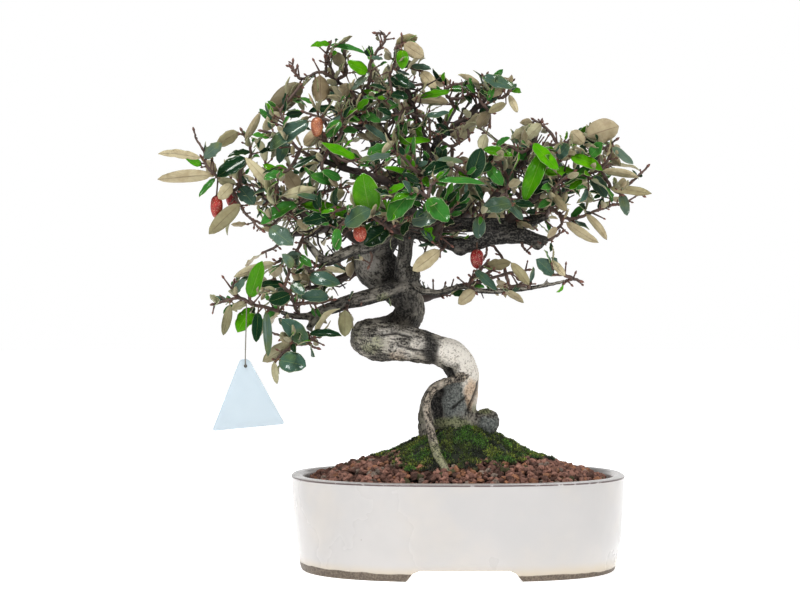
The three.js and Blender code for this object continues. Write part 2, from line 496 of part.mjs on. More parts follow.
// A closed body turned about the upright axis: place(ring, angle) gives each point
function turned(rings, sides, place) {
  const profile = Array.from({ length: rings }, (_, i) => new THREE.Vector2(1, i));
  const geometry = new THREE.LatheGeometry(profile, sides);
  const position = geometry.attributes.position;
  for (let i = 0; i < position.count; i++) {
    const column = Math.floor(i / rings) % sides;
    const spot = place(i % rings, (2 * Math.PI * column) / sides, column);
    position.setXYZ(i, ...spot);
  }
  return solid(geometry);
}

function pot() {
  // Outer wall from the foot up, rim, inner wall, floor, and the hollow inside the foot
  const mid = (POT_FOOT_HALF_LENGTH + POT_HALF_LENGTH) / 2 + 1.2;
  const inner = POT_HALF_LENGTH - POT_WALL;
  const profile = [
    [0, FOOT_HEIGHT],
    [POT_FOOT_HALF_LENGTH - FOOT_WIDTH, FOOT_HEIGHT],
    [POT_FOOT_HALF_LENGTH - FOOT_WIDTH + 0.6, 0],
    [POT_FOOT_HALF_LENGTH - 1, 0],
    [POT_FOOT_HALF_LENGTH, 1.2],
    [mid - 1, POT_HEIGHT * 0.3],
    [POT_HALF_LENGTH - 0.9, POT_HEIGHT * 0.7],
    [POT_HALF_LENGTH, POT_HEIGHT - 1.6],
    [POT_HALF_LENGTH - 1.2, POT_HEIGHT],
    [inner + 1, POT_HEIGHT],
    [inner, POT_HEIGHT - 1.2],
    [inner - 0.8, POT_HEIGHT * 0.75],
    [inner - 5, POT_FLOOR_TOP + 2],
    [inner - 8, POT_FLOOR_TOP],
    [0, POT_FLOOR_TOP],
  ];
  const bowl = turned(profile.length, POT_SIDES, (ring, angle) => {
    const [a, z] = profile[ring];
    const reach = a ? ovalRadius(a, angle) : 0;
    return [reach * Math.cos(angle), reach * Math.sin(angle), z];
  });
  // The arch between the two feet, open from front to back
  const arch = new THREE.Shape();
  const half = FOOT_GAP / 2;
  arch.moveTo(-half - 1, -1);
  arch.lineTo(half + 1, -1);
  arch.lineTo(half - 4, FOOT_HEIGHT - 1);
  arch.lineTo(half - 7, FOOT_HEIGHT + 0.01);
  arch.lineTo(7 - half, FOOT_HEIGHT + 0.01);
  arch.lineTo(4 - half, FOOT_HEIGHT - 1);
  arch.closePath();
  const depth = 2 * POT_HALF_LENGTH;
  const gap = new THREE.ExtrudeGeometry(arch, { depth, bevelEnabled: false });
  gap.rotateX(Math.PI / 2).translate(2, depth / 2, 0);
  const drains = [-DRAIN_OFFSET, DRAIN_OFFSET].map((x) => {
    const bore = new THREE.CylinderGeometry(DRAIN_RADIUS, DRAIN_RADIUS, 4 * FOOT_HEIGHT, 20);
    return solid(bore.rotateX(Math.PI / 2).translate(x, 0, POT_FLOOR_TOP - FOOT_HEIGHT));
  });
  return drains.reduce((body, bore) => body.subtract(bore), bowl.subtract(solid(gap)));
}

// A square of plastic netting over a drain hole: crossed bars of one thickness
const NET_HALF = 13;
const NET_CELLS = 2;
const NET_BAR = 1.8;
const NET_THICKNESS = 1;
function drainNet(x) {
  const bars = [];
  for (let i = 0; i <= NET_CELLS; i++) {
    const offset = NET_HALF * ((2 * i) / NET_CELLS - 1);
    const length = 2 * NET_HALF + NET_BAR;
    const bar = new THREE.BoxGeometry(length, NET_BAR, NET_THICKNESS);
    bars.push(solid(bar.clone().translate(0, offset, 0)));
    bars.push(solid(bar.rotateZ(Math.PI / 2).translate(offset, 0, 0)));
  }
  return joined(bars).translate(x, 0, POT_FLOOR_TOP + CLEARANCE + NET_THICKNESS / 2);
}

// The ground: a dome of coarse grains, smooth where the moss lies on it
const SOIL_TOP_HALF_LENGTH = POT_HALF_LENGTH - POT_WALL - 2;
const SOIL_FOOT_HALF_LENGTH = POT_HALF_LENGTH - POT_WALL - 9.5;
const SOIL_BOTTOM = POT_FLOOR_TOP + NET_THICKNESS + 2 * CLEARANCE;
function domeHeight(x, y) {
  const angle = Math.atan2(y, x);
  const fraction = Math.min(1, Math.hypot(x, y) / ovalRadius(SOIL_TOP_HALF_LENGTH, angle));
  return SOIL_EDGE + SOIL_DOME * (1 - fraction ** 2);
}
const mossReach = (angle) =>
  MOSS_RADIUS * (1 + 0.09 * Math.sin(3 * angle + 1) + 0.06 * Math.sin(5 * angle)) *
  (1 - 0.14 * Math.sin(angle) ** 2);

function groundSpot(ring, angle) {
  const edge = ovalRadius(SOIL_TOP_HALF_LENGTH, angle);
  const moss = mossReach(angle);
  const outer = Math.max(0, ring - MOSS_RINGS) / SOIL_RINGS;
  const reach = ring <= MOSS_RINGS ? (moss * ring) / MOSS_RINGS : moss + (edge - moss) * outer;
  const x = reach * Math.cos(angle);
  const y = reach * Math.sin(angle);
  return [x, y, domeHeight(x, y)];
}

function soil() {
  const top = MOSS_RINGS + SOIL_RINGS;
  return turned(top + 4, GROUND_SIDES, (ring, angle, column) => {
    if (ring > top) {
      const [a, z] = [
        [SOIL_FOOT_HALF_LENGTH + 3.5, SOIL_BOTTOM + 12],
        [SOIL_FOOT_HALF_LENGTH, SOIL_BOTTOM],
        [0, SOIL_BOTTOM],
      ][ring - top - 1];
      const reach = a ? ovalRadius(a, angle) : 0;
      return [reach * Math.cos(angle), reach * Math.sin(angle), z];
    }
    const draw = dice(911 + ring * 97 + column * 13);
    const spot = groundSpot(ring, angle);
    if (ring <= MOSS_RINGS) return spot;
    const shift = ring < top ? 1.6 : 0;
    const lift = (ring + column) % 2 ? SOIL_GRAIN : -SOIL_GRAIN;
    const turn = 2 * Math.PI * draw();
    return [
      spot[0] + shift * Math.cos(turn),
      spot[1] + shift * Math.sin(turn),
      spot[2] + lift * (0.5 + draw() * 0.7),
    ];
  });
}

function moss() {
  const rings = 2 * MOSS_RINGS + 2;
  return turned(rings, GROUND_SIDES, (ring, angle, column) => {
    const under = ring > MOSS_RINGS;
    const level = under ? rings - 1 - ring : ring;
    const [x, y, z] = groundSpot(level, angle);
    if (under) return [x, y, z + CLEARANCE];
    const draw = dice(377 + level * 53 + column * 29);
    const fraction = level / MOSS_RINGS;
    const cushion = 2 + MOSS_HEIGHT * (1 - fraction ** 1.5);
    const tuft = level && column % 2 ? 1.8 * draw() : -0.6;
    return [x, y, z + CLEARANCE + (level ? cushion + tuft : MOSS_HEIGHT)];
  });
}

// The wood, and the same wood with a little spare all over, which its neighbours keep clear of
function wood(spare = 0) {
  const limbs = WOOD.map(([sides, rows]) => limb(rows, sides, spare));
  const knots = KNOTS.map((knot) => ball(knot, spare));
  const thorns = THORNS.map(([u, v, depth, pointU, pointV]) =>
    stalk(seen([u, v, depth]), seen([pointU, pointV, depth - 2]), 1.1 + spare, 0.4 + spare),
  );
  return joined([...limbs, ...knots, ...thorns]);
}

// A leaf: a three-sided stalk from a twig, which opens into a pointed blade folded along its
// middle. Broad blades are ovals and slim ones lozenges. Each face of the blade has the same
// triangles, so the blade keeps its thickness.
const OVAL_STATIONS = [[0.34, 0.94], [0.74, 0.74]];
const SLIM_STATIONS = [[0.46, 1]];
const SLIM_WIDTH = 6.5;
const BLADE_FOLD = 0.3;
function leafBody({ from, base, tip, width, normal }, spare = 0) {
  const along = tip.clone().sub(base);
  const side = new THREE.Vector3().crossVectors(along, normal).normalize();
  const half = width / 2 + spare;
  const rise = normal.clone().multiplyScalar(spare);
  const edge = (station, out) =>
    base.clone().addScaledVector(along, station).add(rise)
      .addScaledVector(side, out * half)
      .addScaledVector(normal, Math.abs(out) * BLADE_FOLD * half);
  const stations = width < SLIM_WIDTH ? SLIM_STATIONS : OVAL_STATIONS;
  const left = stations.map(([station, out]) => edge(station, -out));
  const right = stations.map(([station, out]) => edge(station, out)).reverse();
  const upper = [...left, tip.clone().add(rise), ...right];
  const down = normal.clone().multiplyScalar(-BLADE_THICKNESS - 2 * spare);
  const lower = upper.map((point) => point.clone().add(down));

  // The stalk's section where the blade begins is square to the bend between the two
  const reach = base.clone().sub(from).normalize();
  const bend = along.clone().normalize().add(reach).normalize();
  const section = (middle, direction) => {
    const level = squareTo(direction, side);
    const drop = new THREE.Vector3().crossVectors(direction, level).normalize();
    return [
      middle.clone().addScaledVector(level, -STALK_HALF - spare).add(rise),
      middle.clone().addScaledVector(level, STALK_HALF + spare).add(rise),
      middle.clone().addScaledVector(drop, STALK_DEPTH + spare),
    ];
  };
  const points = [...upper, ...lower, ...section(base, bend), ...section(from, reach)];

  const low = upper.length;
  const neck = 2 * low;
  const root = neck + 3;
  const [LEFT, RIGHT, UNDER] = [0, 1, 2];
  const index = [neck + RIGHT, neck + LEFT, stations.length, root + LEFT, root + RIGHT, root + UNDER];
  for (let i = 0; i + 1 < low; i++) {
    index.push(neck + (i < stations.length ? LEFT : RIGHT), i, i + 1);
    index.push(neck + UNDER, low + i + 1, low + i);
    index.push(i, low + i, low + i + 1, i, low + i + 1, i + 1);
  }
  index.push(neck + LEFT, neck + UNDER, low, neck + LEFT, low, 0);
  index.push(neck + RIGHT, low - 1, neck - 1, neck + RIGHT, neck - 1, neck + UNDER);
  for (const [a, b] of [[LEFT, RIGHT], [RIGHT, UNDER], [UNDER, LEFT]]) {
    index.push(root + a, neck + a, neck + b, root + a, neck + b, root + b);
  }
  const geometry = new THREE.BufferGeometry().setFromPoints(points);
  geometry.setIndex(index);
  return solid(geometry);
}

// The direction square to a leaf's length that is nearest to the wanted one
function squareTo(along, wanted) {
  const unit = along.clone().normalize();
  return wanted.clone().addScaledVector(unit, -wanted.dot(unit)).normalize();
}

// Twigs as curves, with points along each where a leaf can sit
const TWIG_SAMPLES = 12;
const sprays = Object.entries({ ...FRONT_SPRAYS, ...BACK_SPRAYS }).map(([name, twigs]) => ({
  name,
  front: name in FRONT_SPRAYS,
  twigs,
  curves: twigs.map((rows) => new Stem(rows)),
  solids: [],
}));

for (const spray of sprays) {
  for (const rows of spray.twigs) {
    const thinning = (TWIG_RADIUS - TWIG_TIP_RADIUS) / (rows.length - 1);
    const tapered = rows.map(([u, v, depth], i) => [u, v, depth, TWIG_RADIUS - thinning * i]);
    spray.solids.push(limb(tapered, TWIG_SIDES));
  }
}

// What a new leaf must keep clear of, with the box of each
const trunkRoom = wood(CLEARANCE);
const standing = [];
function stand(body) {
  const { min, max } = body.boundingBox();
  standing.push({ body, min, max });
}
function free(body, own) {
  const { min, max } = body.boundingBox();
  return standing.every((other) => {
    if (own.includes(other.body)) return true;
    for (let i = 0; i < 3; i++) {
      if (other.min[i] > max[i] || other.max[i] < min[i]) return true;
    }
    return other.body.intersect(body).isEmpty();
  });
}
for (const spray of sprays) spray.solids.forEach(stand);

// The fruits hang on thin stalks that stop just short of their twigs
const FRUIT_PROFILE = [[0, -0.5], [0.3, -0.44], [0.47, -0.2], [0.5, 0.05], [0.4, 0.32], [0.2, 0.47], [0, 0.5]];
const fruits = FRUITS.map(([place, height, width, color, hangs]) => {
  const middle = seen(place);
  const profile = FRUIT_PROFILE.map(
    ([r, z]) => new THREE.Vector2(r * width * PIXEL, z * height * PIXEL),
  );
  const flesh = new THREE.LatheGeometry(profile, FRUIT_SIDES).rotateX(Math.PI / 2);
  const top = middle.clone().addScaledVector(UP, height * PIXEL * 0.5 - 1);
  const held = seen(hangs);
  const reach = held.clone().sub(top);
  reach.setLength(reach.length() - TWIG_RADIUS - CLEARANCE - 0.3);
  const body = solid(flesh.translate(middle.x, middle.y, middle.z));
  return { color, body: body.add(stalk(top, top.clone().add(reach), 0.7, 0.6)) };
});
fruits.forEach(({ body }) => stand(body));

// The tag: a plate with rounded corners, and the thread that it hangs on
function tag() {
  const corners = TAG_CORNERS.map(([u, v]) => seen([u, v, TAG_DEPTH]));
  const outline = new THREE.Shape();
  const round = 2.2;
  corners.forEach((corner, i) => {
    const before = corners[(i + corners.length - 1) % corners.length];
    const after = corners[(i + 1) % corners.length];
    const into = corner.clone().add(before.clone().sub(corner).setLength(round));
    const out = corner.clone().add(after.clone().sub(corner).setLength(round));
    outline[i ? "lineTo" : "moveTo"](into.x, into.z);
    outline.quadraticCurveTo(corner.x, corner.z, out.x, out.z);
  });
  outline.closePath();
  const hole = seen([...TAG_HOLE, TAG_DEPTH]);
  const eye = new THREE.Path();
  eye.absarc(hole.x, hole.z, TAG_HOLE_RADIUS, 0, 2 * Math.PI, false);
  outline.holes.push(eye);
  const plate = new THREE.ExtrudeGeometry(outline, {
    depth: TAG_THICKNESS,
    bevelEnabled: false,
    curveSegments: 4,
  });
  return solid(plate.rotateX(Math.PI / 2).translate(0, TAG_DEPTH + TAG_THICKNESS / 2, 0));
}

function threadRoute() {
  const hole = seen([...TAG_HOLE, TAG_DEPTH]);
  const top = seen(THREAD_TOP);
  const front = TAG_DEPTH - THREAD_BEND;
  const points = [];
  const drops = 9;
  for (let i = 0; i <= drops; i++) {
    const s = i / drops;
    const sway = s * s * (3 - 2 * s);
    const z = THREE.MathUtils.lerp(top.z, hole.z + THREAD_BEND, s);
    const x = THREE.MathUtils.lerp(top.x, hole.x, sway);
    points.push(new THREE.Vector3(x, THREE.MathUtils.lerp(top.y, front, sway), z));
  }
  for (let i = 1; i <= 4; i++) {
    const turn = (i * Math.PI) / 8;
    const y = TAG_DEPTH - THREAD_BEND * Math.cos(turn);
    points.push(new THREE.Vector3(hole.x, y, hole.z + THREAD_BEND * (1 - Math.sin(turn))));
  }
  points.push(new THREE.Vector3(hole.x, TAG_DEPTH + 2, hole.z));
  return points;
}

function thread() {
  const route = threadRoute();
  const curve = new THREE.CatmullRomCurve3(route, false, "centripetal");
  const section = new THREE.Shape().absarc(0, 0, THREAD_RADIUS, 0, 2 * Math.PI, false);
  const tube = new THREE.ExtrudeGeometry(section, { steps: 18, extrudePath: curve, curveSegments: 4 });
  const end = route.at(-1);
  const knot = new THREE.SphereGeometry(KNOT_RADIUS, 8, 5).translate(end.x, end.y + 0.4, end.z);
  return solid(tube).add(solid(knot));
}
const tagPlate = tag();
const tagThread = thread();
stand(tagPlate);
stand(tagThread);

// Puts a leaf on a spray if it has room there
function grow(spray, leaf) {
  const roomy = leafBody(leaf, CLEARANCE);
  const own = spray.solids.slice(0, spray.twigs.length);
  if (!free(roomy, own) || !roomy.intersect(trunkRoom).isEmpty()) return false;
  const bladeOnly = { ...leaf, from: leaf.base.clone().lerp(leaf.from, 0.1) };
  if (own.some((twig) => !twig.intersect(leafBody(bladeOnly)).isEmpty())) return false;
  const body = leafBody(leaf);
  spray.solids.push(body);
  stand(body);
  return true;
}

// A leaf seen in the photograph grows from the shown twig that is nearest in the picture and
// behind its base, a little in front of it or behind it, wherever it has room. The largest
// leaves take their room first.
const SHIFTS = [-3, 2, -8, 7, -13, 12, -18, 17];
const LEAN = 9;
function nearestTwig(u, v, tipU, tipV) {
  let best = { cost: Infinity };
  for (const spray of sprays.filter(({ front }) => front)) {
    for (const curve of spray.curves) {
      for (let i = 1; i < TWIG_SAMPLES; i++) {
        const point = curve.getFacetPoint(i / TWIG_SAMPLES);
        const base = seen([u, v, point.y]);
        const along = seen([tipU, tipV, point.y]).sub(base).normalize();
        const reach = base.clone().sub(point);
        const distance = reach.length();
        const straight = reach.dot(along) / distance;
        const cost = distance * (2 - straight);
        if (straight > -0.8 && cost < best.cost) best = { cost, spray, point };
      }
    }
  }
  return best;
}
const bladeSize = ([u, v, tipU, tipV, width]) => width * Math.hypot(tipU - u, tipV - v);
const largestFirst = [...SEEN_LEAVES.keys()].sort(
  (a, b) => bladeSize(SEEN_LEAVES[b]) - bladeSize(SEEN_LEAVES[a]),
);
for (const number of largestFirst) {
  const [u, v, tipU, tipV, width, face] = SEEN_LEAVES[number];
  const { spray, point } = nearestTwig(u, v, tipU, tipV);
  const lean = (dice(4001 + number)() - 0.6) * LEAN;
  const wanted = UP.clone().multiplyScalar(Math.cos(radians(face)))
    .addScaledVector(TO_VIEWER, Math.sin(radians(face)));
  SHIFTS.some((shift) => {
    const base = seen([u, v, point.y + shift]);
    const tip = seen([tipU, tipV, point.y + shift + lean]);
    const normal = squareTo(tip.clone().sub(base), wanted);
    return grow(spray, { from: point, base, tip, width: width * PIXEL, normal });
  });
}

// The other leaves sit one by one along the twigs, turned and sized by seeded draws.
const FRONT_SPACING = 36;
const BACK_SPACING = 11.5;
const TRIES = 5;
sprays.forEach((spray, sprayNumber) => {
  spray.curves.forEach((curve, twigNumber) => {
    const spacing = spray.front ? FRONT_SPACING : BACK_SPACING;
    const count = Math.max(1, Math.round(curve.getLength() / spacing));
    for (let i = 0; i < count; i++) {
      for (let attempt = 0; attempt < TRIES; attempt++) {
        const draw = dice(sprayNumber * 10007 + twigNumber * 1009 + i * 101 + attempt * 11 + 5);
        const place = (i + 0.8) / count;
        const from = curve.getFacetPoint(place);
        const forward = from.clone().sub(curve.getFacetPoint(place - 0.04)).normalize();
        const across = squareTo(forward, new THREE.Vector3(-forward.y, forward.x, 0.001));
        const over = new THREE.Vector3().crossVectors(forward, across);
        const turn = Math.PI * i + (draw() - 0.5) * 2.6;
        const spread = radians(28 + 42 * draw()) * (i === count - 1 ? 0.35 : 1);
        const along = forward.clone().multiplyScalar(Math.cos(spread))
          .addScaledVector(across, Math.sin(spread) * Math.cos(turn))
          .addScaledVector(over, Math.sin(spread) * Math.sin(turn))
          .addScaledVector(UP, -0.12).normalize();
        const length = 15 + 9 * draw();
        const width = length * (0.4 + 0.14 * draw());
        const outward = new THREE.Vector3(from.x, from.y, 0).normalize();
        const face = radians(-25 + 90 * draw());
        const wanted = UP.clone().multiplyScalar(Math.cos(face)).addScaledVector(outward, Math.sin(face));
        const base = from.clone().addScaledVector(along, STALK_LENGTH);
        const tip = base.clone().addScaledVector(along, length);
        if (grow(spray, { from, base, tip, width, normal: squareTo(along, wanted) })) break;
      }
    }
  });
});

// Assembly
addMesh("pot", pot(), 0xdedbd4, 0.4);
addMesh("drain_net_left", drainNet(-DRAIN_OFFSET), 0x2c3a30, 0.6);
addMesh("drain_net_right", drainNet(DRAIN_OFFSET), 0x2c3a30, 0.6);
addMesh("soil", soil().subtract(trunkRoom), 0x7d5a4e, 0.95);
addMesh("moss", moss().subtract(trunkRoom), 0x4a5a20, 1);
addMesh("trunk", wood(), 0x6e665c, 0.85);
for (const spray of sprays) {
  const color = spray.front ? 0x3f7030 : 0x35603a;
  addMesh("spray_" + spray.name, joined(spray.solids).subtract(trunkRoom), color, 0.4);
}
fruits.forEach(({ body, color }, i) => addMesh("fruit_" + (i + 1), body, color, 0.45));
addMesh("label_tag", tagPlate, 0xf4f6f6, 0.35);
addMesh("tag_thread", tagThread, 0x7a7468, 0.7);

const outline = new THREE.Box3().setFromObject(group);
group.position.set(-(outline.min.x + outline.max.x) / 2, -(outline.min.y + outline.max.y) / 2, 0);

export default group;
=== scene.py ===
"""A thorny olive bonsai in its oval glazed pot: the finish of every surface, around the CAD frame.

Lengths are in millimetres and measured from the middle of the pot's foot, up to the point where
a mesh is made: to_row() then moves them into the row frame, in metres.
"""

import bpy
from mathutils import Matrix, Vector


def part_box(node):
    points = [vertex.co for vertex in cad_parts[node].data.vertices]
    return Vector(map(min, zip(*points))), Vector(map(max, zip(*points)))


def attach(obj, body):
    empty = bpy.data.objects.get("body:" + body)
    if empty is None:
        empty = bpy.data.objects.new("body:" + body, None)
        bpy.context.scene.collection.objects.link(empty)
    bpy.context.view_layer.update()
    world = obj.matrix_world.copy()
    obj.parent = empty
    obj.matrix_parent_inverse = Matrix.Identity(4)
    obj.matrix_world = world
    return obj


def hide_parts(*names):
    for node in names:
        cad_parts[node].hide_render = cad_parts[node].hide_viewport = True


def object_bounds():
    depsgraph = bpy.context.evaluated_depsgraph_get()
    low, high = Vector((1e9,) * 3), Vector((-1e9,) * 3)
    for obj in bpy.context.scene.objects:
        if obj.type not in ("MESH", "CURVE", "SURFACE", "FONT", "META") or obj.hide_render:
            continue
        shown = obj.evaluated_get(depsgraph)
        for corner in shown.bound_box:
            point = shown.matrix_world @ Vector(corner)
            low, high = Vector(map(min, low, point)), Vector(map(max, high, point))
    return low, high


bl_info = {
    "name": "Thorny Olive Bonsai",
    "version": (1, 0, 0),
    "blender": (4, 5, 0),
    "location": "3D View > Sidebar > Bonsai",
    "description": "Builds a thorny olive bonsai with leaves, bark, moss, soil and a glazed pot",
    "category": "Add Mesh",
}

import functools
import math

import bmesh
import bpy
import numpy as np
from mathutils import Vector, kdtree, noise

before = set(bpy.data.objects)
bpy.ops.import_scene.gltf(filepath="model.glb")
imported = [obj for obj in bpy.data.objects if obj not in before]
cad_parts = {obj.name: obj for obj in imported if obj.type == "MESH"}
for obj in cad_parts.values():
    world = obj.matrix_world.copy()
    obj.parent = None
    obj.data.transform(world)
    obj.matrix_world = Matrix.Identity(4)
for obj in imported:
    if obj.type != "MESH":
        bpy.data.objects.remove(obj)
CAD_LOW, CAD_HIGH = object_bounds()

# How a place in the photograph becomes a place on the tree: a pixel is PIXEL mm wide at the
# pot's middle, and a depth is how far behind the pot's middle a point lies.
PIXEL = 0.633
EYE_HEIGHT = 165
EYE_RANGE = 1240
PICTURE_MIDDLE = (400, 305.5)
POT_PIXEL = 457.5
POT_LOW, POT_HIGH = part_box("pot")
POT_MIDDLE = 1000 * np.array([(POT_LOW.x + POT_HIGH.x) / 2, (POT_LOW.y + POT_HIGH.y) / 2, 0])
POT_ASIDE = (POT_PIXEL - PICTURE_MIDDLE[0]) * PIXEL


def seen(place):
    """A place of the photograph, [u, v, depth], as a place from the pot's middle in mm."""
    u, v, depth = place[:3]
    scale = PIXEL * (1 + depth / EYE_RANGE)
    x = (u - PICTURE_MIDDLE[0]) * scale - POT_ASIDE
    return np.array([x, depth, EYE_HEIGHT + (PICTURE_MIDDLE[1] - v) * scale])


def to_row(points):
    """Places from the pot's middle in mm, as places in the row frame in metres, in the CAD box."""
    placed = (np.asarray(points, float) + POT_MIDDLE) / 1000
    return np.clip(placed, np.array(CAD_LOW), np.array(CAD_HIGH))


# The wood that grew as one piece: rows of [u, v, depth, radius in mm]
WOOD = {
    "trunk": [[456, 462, 4, 11], [456, 446, 4, 13.5], [456, 428, 2, 14.5], [457, 408, 0, 13.2],
        [462, 388, -3, 10.6], [462, 371, -6, 10.1], [451, 356, -10, 10.6], [430, 348, -14, 9.8],
        [402, 343, -17, 11.2], [376, 340, -13, 12.2], [368, 337, 3, 11.8], [378, 334, 15, 10.4],
        [394, 328, 18, 9.8], [408, 316, 13, 9.6], [409, 300, 8, 9.2], [404, 287, 4, 7.2],
        [402, 270, 1, 5], [405, 250, 0, 4.6], [405, 236, 0, 5], [402, 222, 2, 4.6]],
    "knee": [[409, 304, 9, 8], [395, 289, 15, 10.5], [378, 270, 20, 14.3], [374, 255, 21, 13.4],
        [385, 240, 16, 9], [400, 227, 8, 6]],
    "foot_lobe": [[452, 384, 4, 6], [441, 395, 6, 9.4], [436, 412, 6, 11], [437, 440, 6, 11]],
    "aerial_root": [[470, 374, -11, 2], [458, 378, -16, 2.6], [446, 382, -18, 2.7],
        [435, 388, -18, 2.8], [428, 398, -18, 2.8], [427, 410, -18, 2.7], [430, 426, -22, 2.7],
        [433, 440, -28, 2.9], [437, 454, -36, 3], [443, 466, -44, 3.1], [447, 474, -50, 2.8]],
    "upper_left": [[405, 231, 1, 4.6], [395, 233, -5, 3.7], [384, 240, -9, 3.5], [369, 247, -12, 4],
        [354, 250, -14, 3.9], [338, 257, -15, 3.7], [325, 261, -16, 3.3], [316, 253, -17, 2.6],
        [310, 246, -18, 2.1], [303, 238, -18, 1.6]],
    "low_left": [[404, 284, 4, 5.5], [390, 290, -4, 5.8], [376, 295, -9, 5.2], [361, 299, -12, 5],
        [348, 302, -14, 4.7], [335, 307, -16, 4.2], [322, 311, -18, 3.4], [308, 316, -20, 2.4],
        [292, 316, -22, 1.8], [280, 312, -23, 1.5]],
    "low_left_fork": [[322, 310, -18, 3], [314, 321, -21, 2.6], [308, 330, -22, 2]],
    "right": [[404, 232, 1, 5], [416, 232, 0, 4.3], [430, 238, -3, 4], [445, 242, -5, 4.2],
        [460, 245, -7, 5.4], [475, 243, -9, 5.4], [490, 238, -10, 5.2], [520, 236, -12, 5],
        [536, 240, -13, 4.4], [548, 240, -14, 2.2]],
    "right_upper": [[403, 224, 4, 4.8], [425, 222, 7, 4.6], [450, 224, 9, 4.6], [476, 225, 8, 5],
        [505, 225, 10, 4.8], [530, 222, 12, 3.8], [548, 215, 10, 2.4]],
    "right_bridge": [[478, 242, -8, 3.4], [484, 233, -1, 3], [490, 225, 8, 3.2]],
    "low_right": [[410, 276, 3, 3.4], [420, 289, -4, 2.6], [430, 292, -8, 2.3], [441, 292, -10, 2.1],
        [455, 288, -13, 2], [465, 287, -14, 1.9], [475, 290, -15, 1.9], [490, 291.5, -17, 1.8],
        [505, 291, -18, 1.7], [530, 288, -20, 1.6], [552, 284, -22, 1.4], [566, 281, -23, 1.2]],
    "crown": [[403, 226, 3, 5], [408, 212, 4, 4.6], [416, 196, 3, 4.2], [423, 178, 1, 3.8],
        [431, 160, 0, 3.3], [439, 138, -1, 2.8], [446, 122, 0, 2.4], [455, 108, 2, 1.8]],
    "crown_left": [[416, 196, 3, 3.4], [400, 188, -4, 3], [380, 180, -10, 2.6], [358, 172, -14, 2.4],
        [335, 165, -18, 2.1], [315, 158, -20, 1.5]],
    "crown_top_left": [[423, 178, 1, 3], [408, 160, 6, 2.7], [392, 142, 10, 2.4], [376, 124, 12, 2.1],
        [360, 106, 12, 1.8], [346, 90, 10, 1.4]],
    "crown_top": [[431, 160, 0, 2.8], [424, 140, -4, 2.4], [416, 118, -6, 2.1], [410, 98, -6, 1.8],
        [400, 78, -5, 1.3]],
    "crown_right": [[439, 138, -1, 2.4], [455, 126, -6, 2.1], [470, 114, -10, 1.8],
        [484, 102, -12, 1.4]],
    "canopy_right_1": [[476, 225, 8, 3], [488, 208, 6, 2.6], [500, 190, 2, 2.3], [514, 172, -2, 2],
        [526, 158, -6, 1.4]],
    "canopy_right_2": [[505, 224, 10, 3], [524, 206, 4, 2.5], [545, 190, -4, 2.1], [566, 178, -8, 1.5]],
    "canopy_right_3": [[530, 222, 12, 2.6], [548, 208, 29, 2.2], [566, 190, 39, 1.8],
        [584, 176, 47, 1.4]],
    "canopy_left_1": [[376, 250, 20, 3.8], [364, 230, 16, 3.2], [346, 224, 11, 2.9], [330, 224, 6, 2.7],
        [306, 214, 0, 2.4], [282, 204, -6, 2.1], [258, 194, -12, 1.5]],
    "canopy_left_2": [[330, 226, 6, 2.4], [312, 232, 27, 2], [292, 234, 39, 1.4]],
    "canopy_left_3": [[377, 258, 29, 3.6], [356, 240, 41, 3], [332, 222, 51, 2.3], [306, 206, 59, 1.5]],
    "front_left": [[396, 233, -4, 3.2], [386, 224, -24, 2.6], [374, 216, -42, 1.6]],
    "front_right": [[430, 238, -3, 3.2], [440, 228, -22, 2.5], [446, 214, -40, 1.6]],
    "back_right": [[425, 222, 8, 3.6], [440, 208, 29, 3], [456, 192, 45, 2.4], [474, 176, 56, 2],
        [492, 164, 64, 1.4]],
    "back_top": [[416, 196, 3, 3.2], [412, 172, 24, 2.6], [406, 146, 38, 2.2], [398, 120, 47, 1.8],
        [392, 100, 51, 1.4]],
    "back_middle": [[403, 224, 8, 3.6], [396, 206, 32, 2.8], [390, 190, 51, 1.5]],
    "back_right_low": [[450, 224, 10, 3.4], [470, 212, 33, 2.6], [492, 204, 50, 1.5]],
    "back_top_left": [[376, 124, 12, 2.2], [358, 128, 32, 1.8], [340, 126, 44, 1.3]],
    "back_top_right": [[514, 172, -2, 2.1], [528, 160, 22, 1.8], [540, 150, 35, 1.3]],
    "back_low_left": [[376, 262, 27, 3.2], [352, 274, 38, 2.4], [326, 284, 45, 1.9],
        [300, 290, 50, 1.4]],
    "back_low_right": [[409, 300, 12, 3.4], [432, 296, 27, 2.6], [458, 288, 38, 2.1],
        [486, 280, 47, 1.4]],
}

